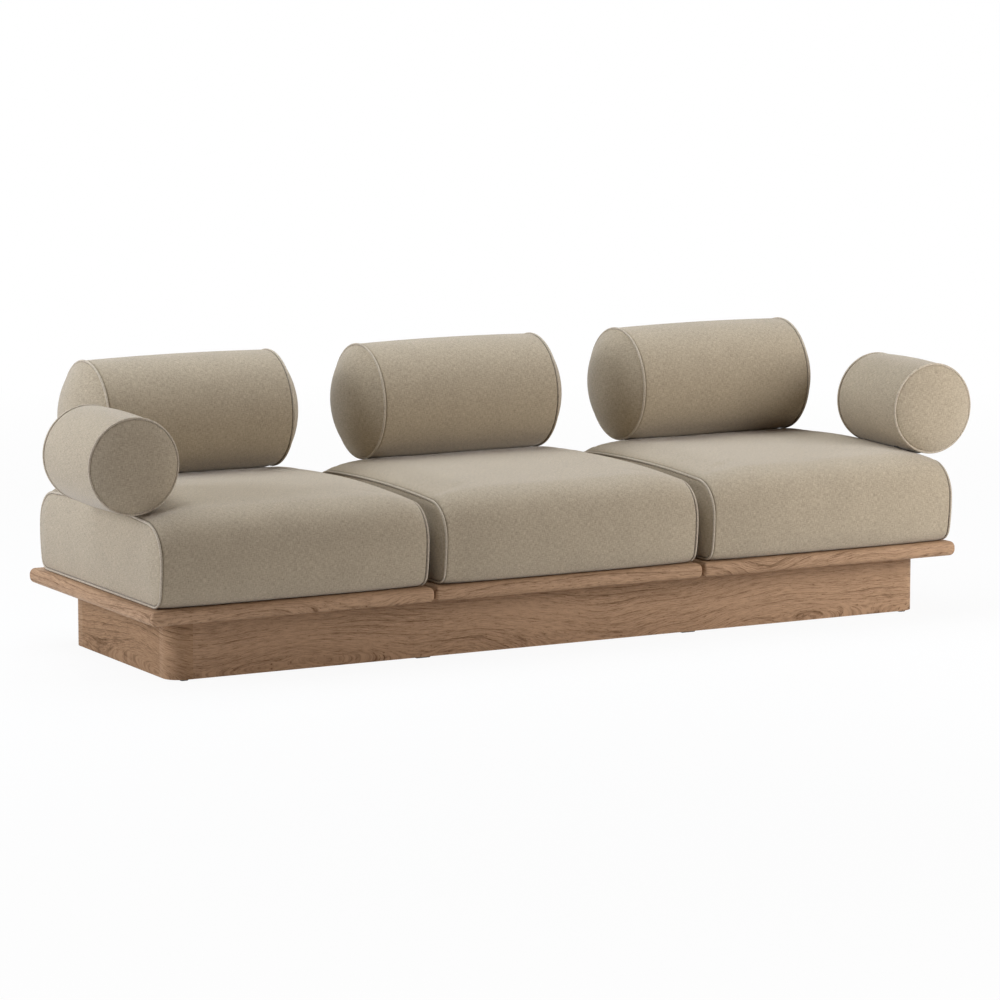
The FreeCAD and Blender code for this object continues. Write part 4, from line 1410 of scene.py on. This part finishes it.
@dataclass
class Bolster:
    """A back or arm bolster: its inflated cover, rim piping and peg collars."""

    body: str
    form: BolsterForm
    along_y: bool
    turn: float
    sides: int = 108
    cord_sides: int = 180
    cap_shift: float = 2.0
    slot: PegSlot = PegSlot(border=0.004, proud=0.0006)
    # Settling: the gap that is left, how far the sag reaches, and which points take part
    rest: float = 0.0008
    sag_reach: float = 0.011
    low_share: float = 0.7
    margin: float = 0.02

    def middle(self) -> Array:
        """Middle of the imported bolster."""
        return np.mean(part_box(self.body + "_cover"), axis=0)

    def placed(self, points: Array) -> Array:
        """Points about the form's own axis, rolled about it and moved to where the bolster is."""
        cos, sin = math.cos(self.turn), math.sin(self.turn)
        points = np.stack([points[..., 0], points[..., 1] * cos - points[..., 2] * sin,
                           points[..., 1] * sin + points[..., 2] * cos], axis=-1)
        if self.along_y:
            points = np.stack([-points[..., 1], points[..., 0], points[..., 2]], axis=-1)
        return points + self.middle()

    def cover(self) -> Piece:
        """Builds the closed cover about the form's own axis, before it is inflated."""
        angle = np.linspace(0.0, 2 * math.pi, self.sides + 1)
        (dome, barrel), _ = self.form.profile()
        whole = np.concatenate([barrel, barrel[-2::-1] * np.array([-1.0, 1.0, 1.0])])
        shell = Shell()
        along = arc_length(whole[:, :2], 0)
        uv = np.stack(np.meshgrid(along + self.turn, angle * self.form.rim_radius, indexing="ij"), axis=-1)
        points = self.form.turned(whole, angle[:-1])
        # The barrel's seam mark: painted shade in the creases beside the rims
        shell.grid(points, uv, closed=True, seam=SEAM.painted_crease_shade(whole[:, 2])[:, None],
                   hold=SEAM.hold(whole[:, 2])[:, None])
        for way in (-1, 1):
            cap = self.form.turned(dome * np.array([way, 1.0, 1.0]), angle[:-1])
            shift = np.array([self.cap_shift * way, self.turn])
            laid = np.concatenate([cap, cap[:, :1]], axis=1)[..., 1:] + shift
            shell.grid(cap, laid, closed=True, hold=SEAM.hold(dome[:, 2])[:, None])
        return shell.build(self.body + "_padded_cover")

    def piping(self) -> Piece:
        """Builds the cords on the two rims."""
        angle = np.linspace(0.0, 2 * math.pi, self.cord_sides, endpoint=False)
        _, cord = self.form.profile()
        outward = np.stack([np.zeros(self.cord_sides), np.cos(angle), np.sin(angle)], axis=1)
        shell = Shell()
        for way in (-1, 1):
            path = self.form.turned(np.array([[way * cord[0], cord[1]]]), angle)[0]
            points, uv = tube(path, outward, SEAM.cord_radius)
            shell.grid(self.placed(points), uv, closed=True)
        return shell.build(self.body + "_rim_cords")

    def collars(self, pegs: Sequence[tuple[float, float]], cover: Array) -> Piece:
        """Builds the bindings where the pegs come out of the cover's underside."""
        shell = Shell()
        under = cover[cover[:, 2] < self.middle()[2]]
        for centre in pegs:
            self.slot.collar(shell, centre, under, Facing.DOWN)
        return shell.build(self.body + "_collars", self.slot.crease_angle)

    def settle(self, points: Array, hold: Array, seat: Array) -> Array:
        """Lets the underside sag on to the seat, away from the rims, and keeps it out of the seat.

        Where a gap is left to the seat, the cloth comes down by (gap - rest) exp(-(gap / reach)^2);
        where it would go into the seat, it is lifted to the rest.

        Args:
            points: the cover's points, in their place.
            hold: how near each point is to a rim.
            seat: points of the cover of the seat below.

        Returns:
            The points of the settled cover.
        """
        axis = self.middle()[2]
        low = np.flatnonzero(points[:, 2] < axis - self.low_share * self.form.rim_radius)
        plan = points[low, :2]
        inside = ((seat[:, :2] > plan.min(axis=0) - self.margin)
                  & (seat[:, :2] < plan.max(axis=0) + self.margin))
        under = seat[inside.all(axis=1) & (seat[:, 2] > axis - 2.0 * self.form.rim_radius)]
        gap = points[low, 2] - nearest_height(under, points[low, 0], points[low, 1])
        sag = (gap - self.rest) * np.exp(-(gap / self.sag_reach) ** 2) * (1.0 - hold[low])
        settled = points.copy()
        settled[low, 2] -= np.where(gap > self.rest, sag, gap - self.rest)
        return settled

    def build(self, pegs: Sequence[tuple[float, float]], swelling: Inflation, seat: Array) -> None:
        """Builds, inflates and dresses the bolster.

        Args:
            pegs: plan places of the pegs.
            swelling: how the cover is inflated.
            seat: points of the cover of the seat below.
        """
        cover = self.cover()
        swelling.apply(cover)
        write_points(cover, self.settle(self.placed(read_points(cover)), read_mark(cover, HOLD_MARK), seat))
        dress(cover, CLOTH)
        set_on_body(cover, self.body, [self.body + "_cover", self.body + "_foam_core"])
        piping = self.piping()
        dress(piping, PIPING_CLOTH_PAINTED_HIGHLIGHT)
        set_on_body(piping, self.body, [self.body + "_piping"])
        collars = self.collars(pegs, read_points(cover))
        dress(collars, CLOTH)
        set_on_body(collars, self.body)


def peg_places(body: str, along_y: bool, plate: float = 0.052) -> list[tuple[float, float]]:
    """Plan places of a bolster's two pegs, half a plate in from the ends of its pegs' box.

    Args:
        body: the bolster's body.
        along_y: the pegs stand in a row along Y.
        plate: width of the plates that the pegs hang from.

    Returns:
        Two plan places.
    """
    low, high = (np.array(c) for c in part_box(body + "_pegs"))
    middle = (low + high) / 2
    if along_y:
        return [(middle[0], low[1] + plate / 2), (middle[0], high[1] - plate / 2)]
    return [(low[0] + plate / 2, middle[1]), (high[0] - plate / 2, middle[1])]


# Studio


@dataclass
class Lamp:
    """A soft rectangular lamp that looks at a point."""

    name: str
    place: tuple[float, float, float]
    target: tuple[float, float, float]
    size: tuple[float, float]
    power: float
    colour: Colour

    def build(self) -> None:
        """Adds the lamp."""
        data = bpy.data.lights.new(self.name, "AREA")
        data.shape = "RECTANGLE"
        data.size, data.size_y = self.size
        data.energy = self.power
        data.color = self.colour
        lamp = bpy.data.objects.new(self.name, data)
        lamp.location = self.place
        way = Vector(self.target) - Vector(self.place)
        lamp.rotation_euler = way.to_track_quat("-Z", "Y").to_euler()
        lamp.visible_camera = False
        bpy.context.scene.collection.objects.link(lamp)


@dataclass
class Studio:
    """Pale floor, soft light and the camera."""

    # Camera
    azimuth: float = -28.34
    elevation: float = 8.50
    distance: float = 11.948
    lens: float = 171.62
    target: tuple[float, float, float] = (-0.00075, -0.026, 0.3211)
    sensor: float = 36.0
    clip_end: float = 200.0
    # Light from all round
    world: float = 0.1
    world_tint: Colour = (1.0, 0.65, 0.45)
    # Floor: its rings, its greys, and where it fades to white for the camera
    floor_radii: tuple[float, ...] = (0.0, 3.0, 6.0, 9.0)
    floor_sides: int = 96
    floor_greys: tuple[float, float] = (0.78, 0.84)
    fade_reach: tuple[float, float] = (1.2, 5.0)
    fade_start: float = 0.93

    def floor(self) -> None:
        """A wide pale disc that the camera sees as almost white, and as fully white towards its edge."""
        angle = np.linspace(0.0, 2 * math.pi, self.floor_sides, endpoint=False)
        radius = np.array(self.floor_radii)
        plan = radius[:, None, None] * np.stack([np.cos(angle), np.sin(angle)], axis=-1)
        points = raised(plan, np.zeros(len(radius)))
        shell = Shell()
        shell.grid(points, np.concatenate([plan, plan[:, :1]], axis=1), closed=True)
        piece = shell.build("floor")
        work = bmesh.new()
        work.from_mesh(piece.data)
        if work.faces[:][0].normal.z < 0:
            bmesh.ops.reverse_faces(work, faces=work.faces)
        work.to_mesh(piece.data)
        work.free()
        material = bpy.data.materials.new("pale_floor")
        material.use_nodes = True
        material.node_tree.nodes.clear()
        sheet = NodeSheet(material.node_tree)
        place = sheet.node("ShaderNodeTexCoord").outputs["Object"]
        far = sheet.node("ShaderNodeVectorMath", {0: place}, operation="LENGTH").outputs["Value"]
        speck = sheet.noise(place, 3.0, 4.0)
        grey = sheet.ramp(speck, 0.0, 1.0, *self.floor_greys)
        colour = sheet.node("ShaderNodeCombineColor", {0: grey, 1: grey, 2: grey}).outputs[0]
        matte = sheet.node("ShaderNodeBsdfDiffuse", {"Color": colour}).outputs[0]
        white = sheet.node("ShaderNodeEmission", {"Strength": 1.0}).outputs[0]
        fade = sheet.ramp(far, *self.fade_reach, self.fade_start, 1.0)
        share = sheet.math("MULTIPLY", sheet.seen(), fade)
        blend = sheet.node("ShaderNodeMixShader", {0: share, 1: matte, 2: white}).outputs[0]
        sheet.node("ShaderNodeOutputMaterial", {"Surface": blend})
        dress(piece, material)

    def sky(self) -> None:
        """Even light from all round, white where the camera sees it."""
        world = bpy.data.worlds.new("studio")
        world.use_nodes = True
        world.node_tree.nodes.clear()
        sheet = NodeSheet(world.node_tree)
        seen = sheet.seen()
        strength = sheet.ramp(seen, 0.0, 1.0, self.world, 1.0)
        tint = sheet.mix(seen, (*self.world_tint, 1.0), (1.0, 1.0, 1.0, 1.0))
        light = sheet.node("ShaderNodeBackground", {"Color": tint, "Strength": strength}).outputs[0]
        sheet.node("ShaderNodeOutputWorld", {"Surface": light})
        bpy.context.scene.world = world

    def camera(self) -> None:
        """The photograph's viewpoint: a long lens from the front left, a little above."""
        turn, lift = math.radians(self.azimuth), math.radians(self.elevation)
        back = Vector((math.sin(turn) * math.cos(lift), -math.cos(turn) * math.cos(lift), math.sin(lift)))
        data = bpy.data.cameras.new("camera")
        data.lens = self.lens
        data.sensor_width = self.sensor
        data.clip_end = self.clip_end
        camera = bpy.data.objects.new("camera", data)
        place = Matrix.Translation(Vector(self.target) + back * self.distance)
        camera.matrix_world = place @ back.to_track_quat("Z", "Y").to_matrix().to_4x4()
        bpy.context.scene.collection.objects.link(camera)
        bpy.context.scene.camera = camera

    def build(self) -> None:
        """Sets up the floor, the light and the camera."""
        self.floor()
        self.sky()
        for lamp in (
                Lamp("overhead", (-0.3, 0.78, 3.2), (-0.1, 0.0, 0.3), (4.5, 2.6), 119.0, (0.86, 0.925, 1.0)),
                Lamp("left", (-4.0, 0.3, 1.45), (0.0, 0.0, 0.4), (2.4, 1.6), 88.0, (0.84, 0.89, 1.0)),
                Lamp("right_front", (2.3, -2.2, 1.3), (0.6, 0.0, 0.4), (1.6, 1.6), 65.0, (0.96, 0.965, 1.0))):
            lamp.build()
        self.camera()
        bpy.context.scene.view_settings.view_transform = "Standard"


def dress_packed_parts() -> None:
    """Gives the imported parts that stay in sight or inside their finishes."""
    finishes = {"plinth_cross_ribs": PLYWOOD_ACROSS, "plinth_cleats": PLYWOOD_ALONG,
                "seat_locating_blocks": PLYWOOD_ALONG}
    for side in Side:
        finishes[f"seat_{side.value}_base_panel"] = PLYWOOD_ALONG
        finishes[f"seat_{side.value}_sockets"] = STEEL
    for body in frame["bodies"]:
        if "bolster" in body:
            finishes[body + "_spine"] = PLYWOOD_ACROSS if body.startswith("arm") else PLYWOOD_ALONG
            finishes[body + "_pegs"] = STEEL
    for node, material in finishes.items():
        dress(frame["nodes"][node], material)


def main() -> None:
    """Builds the sofa from the floor up, then the studio round it."""
    Plinth().build()
    for side in Side:
        Board(side).build()
    Glides().build()
    seat_swelling = Inflation(pressure=4.0, cap=0.0045)
    back_swelling = Inflation(pressure=4.0, cap=0.003)
    arm_swelling = Inflation(pressure=4.0, cap=0.003)
    back_form = BolsterForm(length=0.498, rim_radius=0.145, crown=0.004, dome=0.056, fullness=2.3)
    arm_form = BolsterForm(length=0.270, rim_radius=0.1145, crown=0.0045, dome=0.022, fullness=3.2)
    form = SeatForm()
    for number, side in enumerate(Side):
        seat = Seat(side, form, seed=number + 1)
        back = "back_bolster_" + side.value
        arm = "arm_bolster_" + side.value
        back_pegs = peg_places(back, along_y=False)
        arm_pegs = [] if side is Side.MIDDLE else peg_places(arm, along_y=True)
        bolsters = [Bolster(back, back_form, False, number * math.pi / 2)]
        if arm_pegs:
            bolsters.append(Bolster(arm, arm_form, True, number * math.pi / 2))
        pegs = [(x - seat.middle(), y) for x, y in back_pegs + arm_pegs]
        shape = seat.build(pegs, seat_swelling, bolsters)
        for bolster, places, swelling in zip(bolsters, (back_pegs, arm_pegs), (back_swelling, arm_swelling)):
            bolster.build(places, swelling, shape)
    dress_packed_parts()
    Studio().build()


if __name__ == "__main__":
    main()
